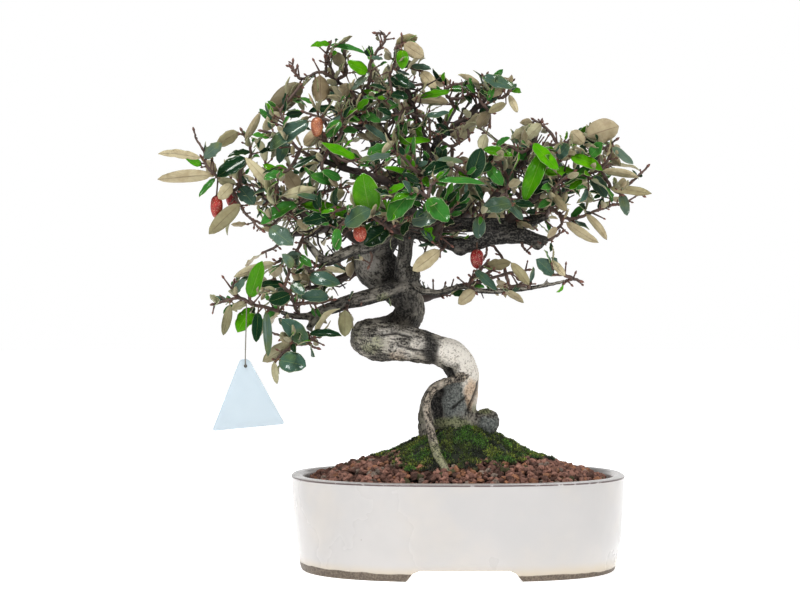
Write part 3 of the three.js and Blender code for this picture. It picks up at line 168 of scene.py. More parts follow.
# The leafy shoots of the front: [u, v, depth] along each twig. A side twig that starts with a
# number forks off at that row of the first twig.
FRONT_SPRAYS = {
    "left_tip": [[[258, 194, -12], [240, 186, -17], [222, 179, -24], [210, 170, -28], [202, 158, -30]],
        [1, [241, 170, -19], [251, 156, -18], [248, 142, -18], [242, 131, -19]],
        [1, [233, 192, -22], [237, 200, -23], [241, 206, -22]]],
    "left_upper": [[[315, 158, -20], [300, 150, -24], [287, 138, -28], [276, 134, -30],
            [262, 131, -30]],
        [2, [284, 120, -22], [281, 110, -18], [300, 86, -10]],
        [1, [292, 166, -30], [280, 176, -33], [276, 190, -35]]],
    "left_centre": [[[300, 211, -1], [294, 205, -14], [282, 198, -24], [268, 197, -28]],
        [1, [284, 214, -24], [272, 226, -28]],
        [1, [306, 200, -27], [324, 192, -28], [347, 187, -30]]],
    "left_middle": [[[340, 167, -17], [328, 150, -24], [322, 132, -24], [318, 114, -22]],
        [1, [344, 161, -30], [360, 159, -33]],
        [1, [340, 138, -20], [342, 122, -14], [356, 112, -6]],
        [1, [322, 168, -28], [334, 180, -30]]],
    "top_left": [[[346, 90, 10], [336, 80, 6], [320, 72, 2], [303, 79, 0], [296, 74, -2],
            [291, 67, -3]],
        [1, [330, 66, 4], [327, 54, 3], [330, 44, 2]],
        [1, [346, 74, 3], [345, 62, 2], [344, 50, 2]]],
    "top_middle": [[[362, 108, 12], [367, 92, 5], [370, 76, 1], [370, 63, -1], [378, 50, -2],
            [385, 40, -2], [383, 34, -2], [376, 33, -1]],
        [1, [356, 98, 0], [340, 107, -3]],
        [1, [378, 94, 0], [386, 102, -2]],
        [1, [368, 108, -5], [366, 122, -9]]],
    "top_right": [[[400, 78, -5], [396, 62, -6], [396, 48, -6], [403, 44, -8]],
        [1, [404, 64, -2], [412, 68, -2], [421, 71, -5]],
        [1, [390, 74, -11], [392, 92, -13]]],
    "crown_inner": [[[413, 108, -6], [403, 110, -13], [398, 124, -16], [394, 142, -17],
            [402, 152, -22]],
        [1, [416, 116, -16], [428, 118, -16], [430, 138, -16]]],
    "crown_right": [[[455, 108, 2], [450, 99, -4], [444, 91, -6], [456, 84, -9], [476, 84, -12]],
        [1, [462, 98, -9], [472, 92, -12]]],
    "crown_far_right": [[[484, 102, -12], [488, 92, -15], [483, 77, -18]],
        [1, [499, 98, -17], [508, 93, -18], [511, 79, -18]],
        [1, [480, 100, -19], [489, 112, -19], [490, 125, -20]]],
    "middle_front_left": [[[374, 216, -42], [366, 212, -52], [352, 216, -56], [342, 224, -54],
            [337, 229, -50]],
        [1, [380, 222, -53], [390, 230, -53]],
        [1, [352, 206, -50], [334, 212, -44], [320, 214, -40]]],
    "middle_front_right": [[[446, 214, -40], [438, 204, -50], [428, 198, -57], [415, 189, -61],
            [402, 192, -58], [386, 198, -55]],
        [2, [431, 186, -52], [437, 180, -50]],
        [1, [422, 212, -54], [408, 217, -54]]],
    "middle_upper": [[[423, 178, 1], [430, 172, -16], [438, 167, -30], [450, 163, -38],
            [464, 162, -41]],
        [2, [418, 172, -38], [406, 160, -40], [394, 152, -40]],
        [3, [464, 172, -40], [470, 179, -40]]],
    "right_inner": [[[508, 180, 0], [503, 168, -14], [494, 160, -22], [482, 154, -27]],
        [1, [508, 182, -24], [506, 194, -29], [511, 203, -32]],
        [[506, 194, -29], [492, 204, -33], [481, 214, -35]]],
    "right_upper": [[[526, 158, -6], [534, 145, -14], [544, 150, -22]],
        [1, [538, 130, -13], [541, 122, -13]],
        [1, [522, 152, -20], [510, 146, -22], [496, 144, -22]]],
    "right_top": [[[548, 188, -5], [556, 172, -11], [559, 156, -15], [570, 140, -15], [586, 138, -15]],
        [2, [574, 156, -18], [590, 154, -18], [600, 146, -16]]],
    "right_outer": [[[566, 178, -8], [584, 175, -12], [600, 169, -15], [609, 158, -17],
            [612, 147, -17]],
        [2, [608, 182, -16], [612, 189, -17], [621, 194, -19]],
        [1, [590, 178, -18]]],
    "right_middle": [[[546, 217, 10], [550, 206, -6], [553, 194, -15], [557, 184, -19],
            [574, 172, -20]],
        [1, [560, 215, -9], [572, 219, -11], [586, 215, -13], [598, 210, -14], [612, 205, -15]],
        [[560, 215, -9], [562, 223, -13], [557, 229, -14]]],
    "right_low": [[[467, 287, -14], [473, 277, -19], [482, 268, -21], [487, 262, -21]],
        [1, [486, 274, -23], [492, 270, -24]],
        [1, [470, 286, -23], [475, 292, -24]]],
    "right_low_tip": [[[566, 281, -23], [573, 279, -25], [580, 281, -26]],
        [1, [564, 275, -27], [553, 275, -28]]],
    "right_low_middle": [[[528, 288, -20], [529, 284, -24], [520, 280, -25]],
        [1, [512, 287, -24], [505, 292, -24]]],
    "right_under": [[[446, 243, -6], [443, 249, -13], [439, 251, -15]]],
    "low_left_upper": [[[303, 238, -18], [297, 250, -22], [286, 258, -24], [276, 263, -26]],
        [1, [304, 262, -22], [311, 272, -22], [325, 269, -21]],
        [2, [289, 270, -26], [286, 283, -28]]],
    "low_left_outer": [[[280, 312, -23], [268, 308, -26], [254, 305, -28], [240, 298, -29],
            [226, 301, -30], [214, 304, -30]],
        [2, [250, 300, -30], [249, 296, -30]],
        [3, [232, 292, -27], [234, 282, -25]]],
    "low_left_inner": [[[300, 316, -21], [294, 305, -26], [291, 294, -28], [282, 286, -30]],
        [1, [306, 303, -27], [318, 303, -27], [333, 300, -25]]],
    "low_left_under": [[[308, 332, -22], [307, 343, -25], [295, 345, -27], [284, 352, -29],
            [276, 361, -30]],
        [1, [296, 336, -30], [286, 335, -31]],
        [1, [314, 337, -28]]],
    "low_left_spur": [[[346, 303, -14], [347, 308, -21], [345, 311, -22]]],
}

# The leafy shoots of the far side and inside the crown, in the same way
BACK_SPRAYS = {
    "back_left": [[[306, 206, 59], [284, 198, 65], [262, 188, 67], [244, 184, 67]],
        [1, [274, 180, 59], [266, 164, 53]],
        [1, [296, 184, 70], [288, 166, 74]]],
    "back_left_low": [[[300, 290, 50], [280, 292, 53], [260, 286, 53]],
        [1, [284, 304, 60], [276, 314, 65]],
        [1, [274, 276, 44]]],
    "back_left_middle": [[[292, 234, 39], [272, 228, 44], [254, 220, 45]],
        [1, [282, 214, 47], [276, 202, 48]],
        [1, [278, 244, 50], [264, 252, 56]]],
    "back_middle": [[[390, 190, 51], [378, 176, 62], [366, 162, 70]],
        [1, [396, 172, 70], [412, 164, 76]],
        [1, [380, 198, 68], [370, 214, 73]]],
    "back_crown": [[[392, 100, 51], [384, 84, 56], [376, 70, 56]],
        [1, [404, 86, 60], [426, 84, 62]],
        [1, [368, 96, 64], [350, 102, 67]]],
    "back_top_left": [[[340, 126, 44], [322, 118, 48], [304, 112, 50]],
        [1, [330, 102, 50], [326, 88, 48]],
        [1, [332, 138, 56], [322, 150, 60]]],
    "back_right_upper": [[[492, 164, 64], [510, 156, 68], [530, 150, 70]],
        [1, [496, 140, 73], [480, 128, 74]],
        [1, [520, 172, 76]]],
    "back_right_middle": [[[492, 204, 50], [512, 200, 57], [534, 200, 62]],
        [1, [500, 186, 67], [484, 180, 73]],
        [1, [508, 216, 65], [516, 228, 70]]],
    "back_right_top": [[[540, 150, 35], [558, 144, 38], [576, 140, 38]],
        [1, [548, 130, 42], [534, 120, 44]],
        [1, [562, 158, 47], [554, 168, 53]]],
    "back_right_outer": [[[584, 176, 47], [600, 168, 48], [614, 164, 48]],
        [1, [598, 152, 53], [590, 142, 54]],
        [1, [604, 186, 53], [602, 204, 53]]],
    "inner_left": [[[318, 220, 4], [300, 214, 18], [282, 202, 26]],
        [1, [304, 196, 24], [312, 180, 28]]],
    "inner_top": [[[392, 142, 10], [376, 136, 26], [362, 122, 32]],
        [1, [392, 122, 30], [404, 108, 28]]],
    "inner_right": [[[514, 213, 8], [520, 196, 18], [534, 178, 22]],
        [1, [504, 182, 26], [496, 166, 32]]],
    "inner_middle": [[[438, 140, -1], [452, 146, 14], [466, 138, 24]],
        [1, [454, 166, 28], [468, 180, 34]]],
    "back_right_low": [[[486, 280, 47], [506, 274, 50], [528, 270, 50]],
        [1, [502, 258, 57], [494, 246, 62]],
        [1, [510, 288, 56]]],
}

# The leaves that show one by one: [u, v] of the base, [u, v] of the tip, width in pixels, and
# the angle in degrees by which the upper face turns from the sky to the viewer, and the tone
# where it is plain to see
SEEN_LEAVES = [
    # far left
    [212, 175, 157, 180, 13, -75], [201, 158, 158, 152, 9, -65], [203, 157, 221, 143, 14, 60, "silver"],
    [206, 160, 214, 177, 12, -60], [246, 158, 217, 177, 18, 60, "dark"],
    [238, 132, 216, 146, 14, -60, "khaki"], [245, 140, 260, 113, 8, -70], [251, 152, 228, 155, 8, 50],
    [240, 187, 254, 204, 17, 65, "teal"], [232, 184, 218, 199, 13, -60], [215, 178, 199, 197, 7, 50],
    [240, 204, 209, 234, 15, -80], [275, 192, 245, 158, 11, -85, "cream"],
    [298, 203, 260, 222, 14, 60, "mid"], [309, 121, 269, 148, 18, 60, "teal"],
    [287, 135, 279, 163, 13, 60, "teal"], [279, 112, 263, 131, 12, -70],
    [303, 84, 268, 115, 22, -70, "olive"], [270, 138, 253, 133, 7, 45], [283, 172, 264, 178, 10, 60],
    # low left
    [275, 263, 233, 276, 10, -60], [250, 298, 262, 261, 16, 65, "bright"],
    [284, 284, 258, 285, 11, 55, "dark"], [290, 294, 269, 302, 16, 60, "dark"],
    [301, 254, 281, 262, 11, 50, "silver"], [293, 268, 283, 254, 10, 60, "silver"],
    [309, 275, 340, 283, 16, 65, "teal"], [329, 297, 301, 297, 14, 65, "teal"],
    [325, 268, 346, 272, 7, -60], [292, 283, 304, 295, 11, 60], [253, 308, 237, 331, 17, 65, "bright"],
    [230, 305, 223, 336, 9, -70], [247, 303, 230, 309, 9, -60], [258, 312, 256, 342, 11, 60, "dark"],
    [266, 311, 268, 357, 9, 60, "silver"], [294, 343, 263, 362, 14, -75],
    [307, 344, 283, 319, 18, 70, "teal"], [309, 334, 341, 334, 10, 50, "dark"],
    [345, 310, 345, 337, 14, -80], [279, 360, 306, 366, 22, 70, "teal"], [274, 362, 277, 384, 7, -60],
    [219, 303, 210, 295, 7, -50], [234, 293, 244, 279, 9, 60, "silver"],
    # crown, left half
    [330, 43, 311, 45, 9, 50, "bright"], [330, 45, 365, 52, 8, 50, "mid"],
    [332, 55, 345, 65, 13, -65, "olive"], [368, 72, 347, 62, 16, 60, "bright"],
    [370, 72, 351, 91, 7, 60, "silver"], [320, 75, 320, 104, 18, -80, "olive"],
    [336, 108, 309, 110, 10, 50], [356, 111, 327, 124, 10, 50], [322, 132, 304, 145, 14, -70, "cream"],
    [340, 120, 326, 138, 13, 60], [342, 128, 358, 132, 9, 55], [364, 113, 380, 121, 12, 55, "mid"],
    [364, 124, 390, 143, 8, 50, "teal"], [363, 90, 385, 99, 8, 55], [371, 98, 361, 112, 9, 60],
    [350, 84, 337, 98, 13, -70], [371, 57, 383, 60, 7, 50],
    # crown, right half
    [396, 44, 418, 36, 12, -60, "khaki"], [404, 44, 425, 57, 15, -75],
    [402, 50, 402, 69, 13, 65, "bright"], [411, 66, 431, 69, 9, 50],
    [421, 72, 436, 88, 12, -70, "cream"], [392, 76, 409, 88, 15, 60, "dark"],
    [391, 94, 408, 97, 11, 60], [450, 91, 420, 96, 10, 50, "bright"], [449, 103, 411, 99, 12, -60],
    [446, 90, 475, 89, 10, 55], [483, 76, 515, 88, 14, 65, "teal"], [508, 78, 489, 97, 13, -70],
    [480, 85, 458, 73, 7, -50], [509, 95, 518, 113, 7, -60], [506, 104, 488, 112, 9, -60, "khaki"],
    [490, 112, 477, 127, 13, -65, "olive"], [424, 117, 450, 113, 8, 50], [431, 140, 404, 141, 8, 60],
    [378, 94, 413, 117, 6, 40], [395, 141, 381, 153, 7, -60, "cream"],
    # middle
    [371, 215, 363, 173, 27, 72, "bright"], [415, 188, 388, 221, 20, 65, "mid"],
    [375, 214, 399, 223, 10, -40], [428, 198, 448, 223, 20, 65, "mid"],
    [411, 222, 437, 217, 17, 60, "silver"], [388, 192, 405, 184, 10, 55, "bright"],
    [417, 177, 384, 167, 8, 50, "bright"], [392, 155, 358, 161, 9, 50, "silver"],
    [393, 146, 367, 155, 16, 60, "mid"], [450, 164, 423, 174, 15, 60],
    [464, 162, 438, 158, 7, 50, "silver"], [436, 180, 485, 182, 9, 50],
    [470, 179, 481, 148, 18, 65, "dark"], [388, 229, 364, 245, 20, 65, "dark"],
    [331, 216, 302, 223, 15, 60, "dark"], [344, 225, 369, 208, 20, 60, "teal"],
    [302, 205, 356, 217, 14, 60, "bright"], [322, 199, 297, 194, 8, 55],
    [270, 227, 293, 245, 19, 65, "silver"], [337, 228, 337, 251, 10, 60],
    [283, 196, 316, 189, 12, -65, "cream"], [345, 192, 328, 200, 12, -60],
    [341, 179, 323, 170, 11, 60, "mid"], [331, 184, 311, 175, 12, 60, "mid"],
    [318, 155, 290, 170, 7, 50], [356, 158, 321, 143, 12, 55, "bright"],
    # right
    [483, 149, 513, 157, 11, 60, "bright"], [486, 134, 481, 151, 11, -60], [496, 146, 509, 137, 8, 55],
    [528, 158, 507, 147, 14, 60], [532, 128, 511, 139, 12, -60], [541, 124, 526, 139, 13, -65],
    [533, 143, 558, 171, 14, 60, "bright"], [543, 152, 524, 201, 18, 70, "bright"],
    [520, 158, 492, 166, 9, 55], [488, 166, 503, 185, 13, 60, "mid"],
    [509, 167, 510, 190, 10, 60, "teal"], [575, 171, 541, 174, 12, 55, "bright"],
    [557, 158, 569, 144, 14, 60], [570, 156, 603, 168, 14, 60], [555, 181, 534, 193, 13, 60, "dark"],
    [512, 203, 482, 209, 17, 65, "teal"], [504, 196, 523, 220, 10, 60],
    [480, 216, 478, 239, 13, 65, "teal"], [552, 193, 566, 211, 9, -60, "khaki"],
    [553, 202, 537, 206, 9, -60], [557, 228, 546, 237, 9, -60], [586, 137, 619, 126, 24, -80, "tan"],
    [584, 144, 571, 131, 14, -75, "cream"], [590, 156, 603, 143, 14, 60],
    [612, 146, 633, 165, 9, 60, "silver"], [607, 152, 622, 166, 9, -60], [602, 171, 639, 176, 9, -60],
    [610, 188, 652, 193, 10, -65, "khaki"], [592, 176, 606, 198, 15, 65, "teal"],
    [621, 193, 627, 216, 10, 60, "silver"], [566, 222, 598, 243, 10, -70], [586, 214, 608, 240, 8, -65],
    # low right
    [440, 250, 412, 271, 15, -80, "cream"], [475, 270, 497, 290, 10, 60], [484, 267, 511, 262, 13, -60],
    [529, 285, 511, 263, 10, -65], [475, 291, 459, 304, 13, -70], [505, 291, 525, 302, 8, -60],
    [553, 275, 537, 259, 15, 65, "teal"], [565, 276, 551, 260, 8, -65, "cream"],
]

# How far in mm a seen leaf may be shifted in depth to find room, and its shift where it finds none
SHIFTS = (-3, 2, -8, 7, -13, 12, -18, 17)
LAST_SHIFT = -4
# How far in mm the depths of the seen leaves' tips are spread
LEAN = 9
# The guessed leaves: mm of twig to each, how often one is tried, and the length of its stalk
FRONT_SPACING = 36
BACK_SPACING = 11.5
TRIES = 5
STALK_LENGTH = 3
# How many parts a twig is cut into where the root of a seen leaf is looked for
TWIG_SAMPLES = 12
# Mm of bough to each of the bare twigs that cross inside the crown
TANGLE_SPACING = 3.5
# How near in mm a leaf's tip lies to a corner of the CAD shoot that carries the leaf
FOUND_WITHIN = 0.05

UP = np.array([0, 0, 1.0])
TO_VIEWER = np.array([0, -1.0, 0])


def unit(vector):
    return vector / np.linalg.norm(vector)


def square_to(along, wanted):
    """The direction square to a length that is nearest to the wanted one."""
    line = unit(along)
    return unit(wanted - line * (wanted @ line))


def gaps(line):
    """The distance from each point of a line to its next."""
    return np.linalg.norm(np.diff(line, axis=0), axis=1)


def runs_along(line):
    """How far along a line each of its points lies."""
    return np.concatenate([[0], np.cumsum(gaps(line))])


def directions(line):
    ways = np.gradient(line, axis=0)
    return ways / np.linalg.norm(ways, axis=1)[:, None]


def arc(into, corner, out, steps):
    """A bend from one point to another round a corner."""
    return [(1 - t) ** 2 * into + 2 * t * (1 - t) * corner + t * t * out
            for t in (k / steps for k in range(steps + 1))]


def dice(seed):
    """Seeded random numbers from 0 to 1."""
    state = seed % 2147483646 + 1

    def draw():
        nonlocal state
        state = state * 16807 % 2147483647
        return state / 2147483647

    return draw


def scatter(draw):
    """A random offset of up to a half along each axis."""
    return np.array([draw() - 0.5, draw() - 0.5, draw() - 0.5])


def linear(red, green, blue):
    """A colour given as 0 to 255 on a screen, as scene values."""
    return tuple(c / 12.92 if c <= 0.04045 else ((c + 0.055) / 1.055) ** 2.4
                 for c in (red / 255, green / 255, blue / 255))


class Stem:
    """A smooth line through its rows."""

    def __init__(self, rows):
        self.points = p = np.array([seen(row) for row in rows])
        self.radii = [row[3] for row in rows] if len(rows[0]) > 3 else None
        self.longer = np.vstack([2 * p[0] - p[1], p, 2 * p[-1] - p[-2]])

    def spot(self, part):
        """The row before a part of the line, and the share of the way to the next row."""
        place = part * (len(self.points) - 1)
        before = min(int(place), len(self.points) - 2)
        return before, place - before

    def between(self, values, part):
        before, t = self.spot(part)
        return values[before] * (1 - t) + values[before + 1] * t

    def facet(self, part):
        return self.between(self.points, part)

    def radius(self, part):
        return self.between(self.radii, part)

    def point(self, part):
        i, t = self.spot(part)
        before, start, end, after = self.longer[i:i + 4]
        start_slope, end_slope = (end - before) / 2, (after - start) / 2
        return ((2 * t**3 - 3 * t**2 + 1) * start + (t**3 - 2 * t**2 + t) * start_slope
                + (3 * t**2 - 2 * t**3) * end + (t**3 - t**2) * end_slope)

    def stations(self, steps_per_span):
        """Parts of the line, evenly spread over its rows, and their points."""
        count = steps_per_span * (len(self.points) - 1)
        parts = [i / count for i in range(count + 1)]
        return parts, [self.point(part) for part in parts]

    def length(self):
        return gaps(np.array([self.point(i / 200) for i in range(201)])).sum()


def stems_of(twigs):
    """The line of each twig of a shoot. A number is the row of the first twig where one forks."""
    return [Stem([twigs[0][rows[0]], *rows[1:]] if isinstance(rows[0], int) else rows)
            for rows in twigs]


def ring_faces(rings, sides):
    """The quads between rings of points, with the first and last ring closed."""
    faces = []
    for i in range(0, (rings - 1) * sides, sides):
        for k in range(sides):
            m = (k + 1) % sides
            faces.append((i + k, i + m, i + sides + m, i + sides + k))
    return faces + [tuple(reversed(range(sides))), tuple(range((rings - 1) * sides, rings * sides))]


class Shape:
    """Collects the points, faces, finishes, surface coordinates and tints of one piece."""

    def __init__(self):
        self.points, self.faces, self.finishes, self.places, self.tints = [], [], [], [], []
        self.count = 0

    def add(self, points, faces, tint=(1, 1, 1), finish=0, places=None):
        points = np.asarray(points, float)
        self.points.append(points)
        self.faces += [tuple(self.count + i for i in face) for face in faces]
        self.finishes += [finish] * len(faces) if isinstance(finish, int) else finish
        self.places.append(np.zeros((len(points), 2)) if places is None else np.asarray(places))
        self.tints.append(np.broadcast_to(np.asarray(tint, float), (len(points), 3)))
        self.count += len(points)

    def tube(self, line, radii, sides, tint=(1, 1, 1), finish=0):
        """Rings of points round a line. A ring's radius may be one number or one for each side."""
        line = np.asarray(line, float)
        ways = directions(line)
        level = square_to(ways[0], UP if abs(ways[0] @ UP) < 0.9 else TO_VIEWER)
        turns = 2 * np.pi * np.arange(sides) / sides
        points, places = [], []
        for i, (middle, way, radius) in enumerate(zip(line, ways, radii)):
            level = square_to(way, level)
            ring = np.outer(np.cos(turns), level) + np.outer(np.sin(turns), np.cross(way, level))
            points.append(middle + ring * np.reshape(radius, (-1, 1)))
            places += [(t / (2 * np.pi), i / (len(line) - 1)) for t in turns]
        self.add(np.vstack(points), ring_faces(len(line), sides), tint, finish, places)

    def turned(self, rings, sides, place, tint=(1, 1, 1)):
        """A body turned about the upright axis, with each ring's points given by a place."""
        points = [place(ring, 2 * math.pi * k / sides) for ring in range(rings) for k in range(sides)]
        self.add(points, ring_faces(rings, sides), tint)

    def piece(self, name, materials, slot, replaced=(), smooth=True):
        mesh = bpy.data.meshes.new(name)
        mesh.from_pydata(to_row(np.vstack(self.points)).tolist(), [], self.faces)
        for material in materials:
            mesh.materials.append(material)
        mesh.polygons.foreach_set("material_index", self.finishes)
        mesh.polygons.foreach_set("use_smooth", [smooth] * len(self.faces))
        corners = np.zeros(len(mesh.loops), np.int32)
        mesh.loops.foreach_get("vertex_index", corners)
        layer = mesh.uv_layers.new(name="UVMap")
        layer.data.foreach_set("uv", np.vstack(self.places)[corners].ravel())
        tint = mesh.color_attributes.new("tint", "FLOAT_COLOR", "POINT")
        colours = np.hstack([np.vstack(self.tints), np.ones((self.count, 1))])
        tint.data.foreach_set("color", colours.ravel())
        mesh.update()
        return settle(linked(name, mesh), replaced)


def linked(name, data):
    """A new object that stands in the scene."""
    made = bpy.data.objects.new(name, data)
    bpy.context.scene.collection.objects.link(made)
    return made


def settle(piece, replaced=()):
    """Puts a finished piece on the object's one body."""
    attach(piece, "root")
    if replaced:
        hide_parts(*replaced)
    return piece


# Sizes and colours that a user would change

def colour(name, description, *screen):
    return bpy.props.FloatVectorProperty(
        name=name, description=description, subtype="COLOR", default=linear(*screen), min=0, max=1)


def number(name, description, default, low, high, **kind):
    return bpy.props.FloatProperty(
        name=name, description=description, default=default, min=low, max=high, **kind)


class PotSettings(bpy.types.PropertyGroup):
    glaze: colour("Glaze", "Colour of the glazed wall", 198, 195, 193)
    clay: colour("Clay", "Colour of the unglazed foot", 128, 116, 102)
    line: colour("Rim line", "Colour where the glaze breaks at the rim", 92, 76, 76)
    foot_band: number("Foot band", "Height of the unglazed band in mm", 3.4, 0, 8)


class WoodSettings(bpy.types.PropertyGroup):
    bark: colour("Bark", "Main colour of the bark", 132, 127, 117)
    pale: colour("Pale bark", "Colour of the bare bend", 236, 231, 222)
    dark: colour("Dark bark", "Colour of the weathered bark", 38, 36, 34)
    twig: colour("Twig", "Colour of the young twigs", 104, 84, 76)
    grain: number("Grain", "Edge of the cells that the wood is meshed with", 0.0009, 0.0005, 0.003,
                  unit="LENGTH", precision=4)
    relief: number("Relief", "Depth of the bark's wrinkles in mm", 0.7, 0, 2)


class LeafSettings(bpy.types.PropertyGroup):
    bright: colour("Young leaf", "Upper side of a young leaf", 82, 148, 4)
    mid: colour("Grown leaf", "Upper side of a grown leaf", 64, 124, 54)
    dark: colour("Old leaf", "Upper side of an old leaf", 19, 55, 33)
    teal: colour("Silvery leaf", "Upper side of a leaf with a silvery bloom", 76, 102, 90)
    tan: colour("Underside", "Lower side of a leaf", 173, 164, 134)
    cream: colour("Pale underside", "Lower side of a pale leaf", 192, 183, 150)
    thickness: number("Thickness", "Thickness of a blade in mm", 0.42, 0.1, 1)
    wave: number("Wave", "Waves of a leaf's edge, as a share of its half width", 0.16, 0, 0.5)


class GroundSettings(bpy.types.PropertyGroup):
    granule: colour("Granules", "Colour of the soil granules", 146, 110, 97)
    granule_size: number("Granule size", "Radius of a soil granule in mm", 2.0, 1, 5)
    moss: colour("Moss", "Colour of the moss", 64, 82, 34)
    sprigs: bpy.props.IntProperty(
        name="Sprigs", description="Number of moss sprigs", default=27000, min=1000, max=40000)


class StageSettings(bpy.types.PropertyGroup):
    floor: number("Floor", "Grey of the floor, from black to white", 0.8, 0, 1, subtype="FACTOR")
    glow: number("Glow", "Light of the floor's own, which hides the horizon", 0.81, 0, 1)
    horizon: number("Horizon", "Brightness of the room at eye level", 1.0, 0, 5)
    sky: number("Sky", "Brightness of the room overhead", 0.25, 0, 5)
    key: number("Key light", "Power of the main lamp", 12, 0, 100, unit="POWER")


SETTINGS = {"pot": PotSettings, "wood": WoodSettings, "leaf": LeafSettings,
            "ground": GroundSettings, "stage": StageSettings}


def settings(group):
    return getattr(bpy.context.scene, "bonsai_" + group)


# Finishes

class Finish:
    """A material whose colour is laid on in coats. Each short call gives a new node's output."""

    def __init__(self, name, colour, **values):
        self.material = bpy.data.materials.new(name)
        self.material.use_nodes = True
        self.tree = self.material.node_tree
        self.colour = colour
        self.set(**values)

    def set(self, **values):
        """Sets the shader's own sockets."""
        for name, value in values.items():
            self.put(self.tree.nodes["Principled BSDF"].inputs[name.replace("_", " ")], value)

    def coat(self, share, over, most=1):
        """Lays a colour over the one so far, by a share that is brought down to at most a limit."""
        self.colour = self.mix(self.times(share, most) if most < 1 else share, self.colour, over)

    def done(self, height, depth):
        """The material, with its colour and a relief whose depth is in mm."""
        inputs = {"Height": height, "Strength": 1, "Distance": depth / 1000}
        self.set(Base_Color=self.colour, Normal=self.node("Bump", inputs))
        return self.material

    def put(self, socket, value):
        if isinstance(value, bpy.types.NodeSocket):
            self.tree.links.new(value, socket)
        elif hasattr(value, "__len__") and len(value) == 3 and len(socket.default_value) == 4:
            socket.default_value = (*value, 1)
        else:
            socket.default_value = value

    def node(self, kind, inputs, output=0, **choices):
        made = self.tree.nodes.new("ShaderNode" + kind)
        for name, value in choices.items():
            setattr(made, name, value)
        for name, value in inputs.items():
            self.put(made.inputs[name], value)
        return made.outputs[output]

    def times(self, a, b):
        return self.node("Math", {0: a, 1: b}, operation="MULTIPLY")

    def plus(self, a, b, c):
        """a times b, plus c."""
        return self.node("Math", {0: a, 1: b, 2: c}, operation="MULTIPLY_ADD")

    def mix(self, share, a, b, blend="MIX"):
        return self.node("Mix", {0: share, 6: a, 7: b}, 2, data_type="RGBA", blend_type=blend)

    def dyed(self, colour, dye):
        return self.mix(1, colour, dye, "MULTIPLY")

    def span(self, value, low, high, out_low=0, out_high=1):
        inputs = {"Value": value, 1: low, 2: high, 3: out_low, 4: out_high}
        return self.node("MapRange", inputs, interpolation_type="SMOOTHSTEP")

    def where(self):
        return self.node("TexCoord", {}, "Object")

    def axis(self, name):
        return self.node("SeparateXYZ", {0: self.where()}, name)

    def noise(self, size, detail, *span):
        """Cloudy noise with features of a size in mm, whole or in a span."""
        inputs = {"Vector": self.where(), "Scale": 1000 / size, "Detail": detail}
        cloud = self.node("TexNoise", inputs, "Fac")
        return self.span(cloud, *span) if span else cloud

    def dots(self, size, near, far):
        """1 within each of many dots that are a size in mm apart, and 0 between them."""
        inputs = {"Vector": self.where(), "Scale": 1000 / size}
        return self.span(self.node("TexVoronoi", inputs, "Distance"), near, far, 1, 0)


def attribute(finish, name, output="Fac"):
    """What is painted on the mesh under a name."""
    return finish.node("Attribute", {}, output, attribute_name=name)


def blade_finish(name, upper):
    """A leaf's skin: veins and pale margin by its own length and width, and silvery scales."""
    finish = Finish(name, None)
    finish.colour = tint = attribute(finish, "tint", "Color")
    across, along = (finish.node("SeparateXYZ", {0: finish.node("UVMap", {})}, way) for way in "XY")
    out = finish.node("Math", {0: finish.plus(across, 2, -1)}, operation="ABSOLUTE")
    rib = finish.span(out, 0.012, 0.055, 1, 0)
    slant = finish.times(finish.plus(out, -0.32, along), 52)
    veins = finish.span(finish.node("Math", {0: slant}, operation="SINE"), 0.72, 1)
    if upper:
        lighter = finish.mix(0.4, tint, (0.4, 0.5, 0.16))
        finish.coat(finish.noise(4, 3, 0.3, 0.7, 0, 0.35), finish.dyed(tint, (0.5, 0.62, 0.5)))
        fresh = finish.dyed(finish.colour, (1.7, 1.3, 0.5))
        finish.coat(finish.noise(12, 3, 0.48, 0.7, 0, 0.6), fresh)
        finish.coat(veins, lighter, 0.1)
        finish.coat(rib, lighter, 0.6)
        finish.coat(finish.span(out, 0.9, 0.99), (0.42, 0.46, 0.28), 0.6)
        scales = finish.times(finish.dots(0.55, 0.12, 0.2), finish.noise(7, 2, 0.48, 0.62))
        finish.coat(scales, (0.5, 0.56, 0.5), 0.4)
        finish.set(Roughness=finish.noise(9, 2, 0.3, 0.7, 0.28, 0.5),
                   Coat_Weight=0.32, Coat_Roughness=0.11, Specular_IOR_Level=0.05)
        return finish.done(finish.plus(rib, -0.8, finish.times(veins, -0.35)), 0.16)
    darker = finish.dyed(tint, (0.6, 0.5, 0.4))
    finish.coat(finish.dots(0.5, 0.1, 0.26), darker, 0.45)
    finish.coat(finish.noise(4, 3, 0.35, 0.7, 0, 0.4), darker)
    finish.coat(rib, (0.16, 0.1, 0.05), 0.55)
    finish.set(Roughness=0.55, Sheen_Weight=0.25, Sheen_Roughness=0.4)
    return finish.done(finish.plus(rib, 1.0, finish.times(veins, 0.3)), 0.2)


def twig_finish():
    wood = settings("wood")
    finish = Finish("twig_bark", wood.twig, Roughness=0.6)
    finish.coat(finish.noise(5, 4, 0.4, 0.75, 0, 0.7), wood.dark)
    finish.coat(finish.dots(0.9, 0.1, 0.22), linear(168, 150, 132), 0.45)
    finish.colour = finish.dyed(finish.colour, attribute(finish, "tint", "Color"))
    return finish.done(finish.noise(0.8, 5), 0.35)


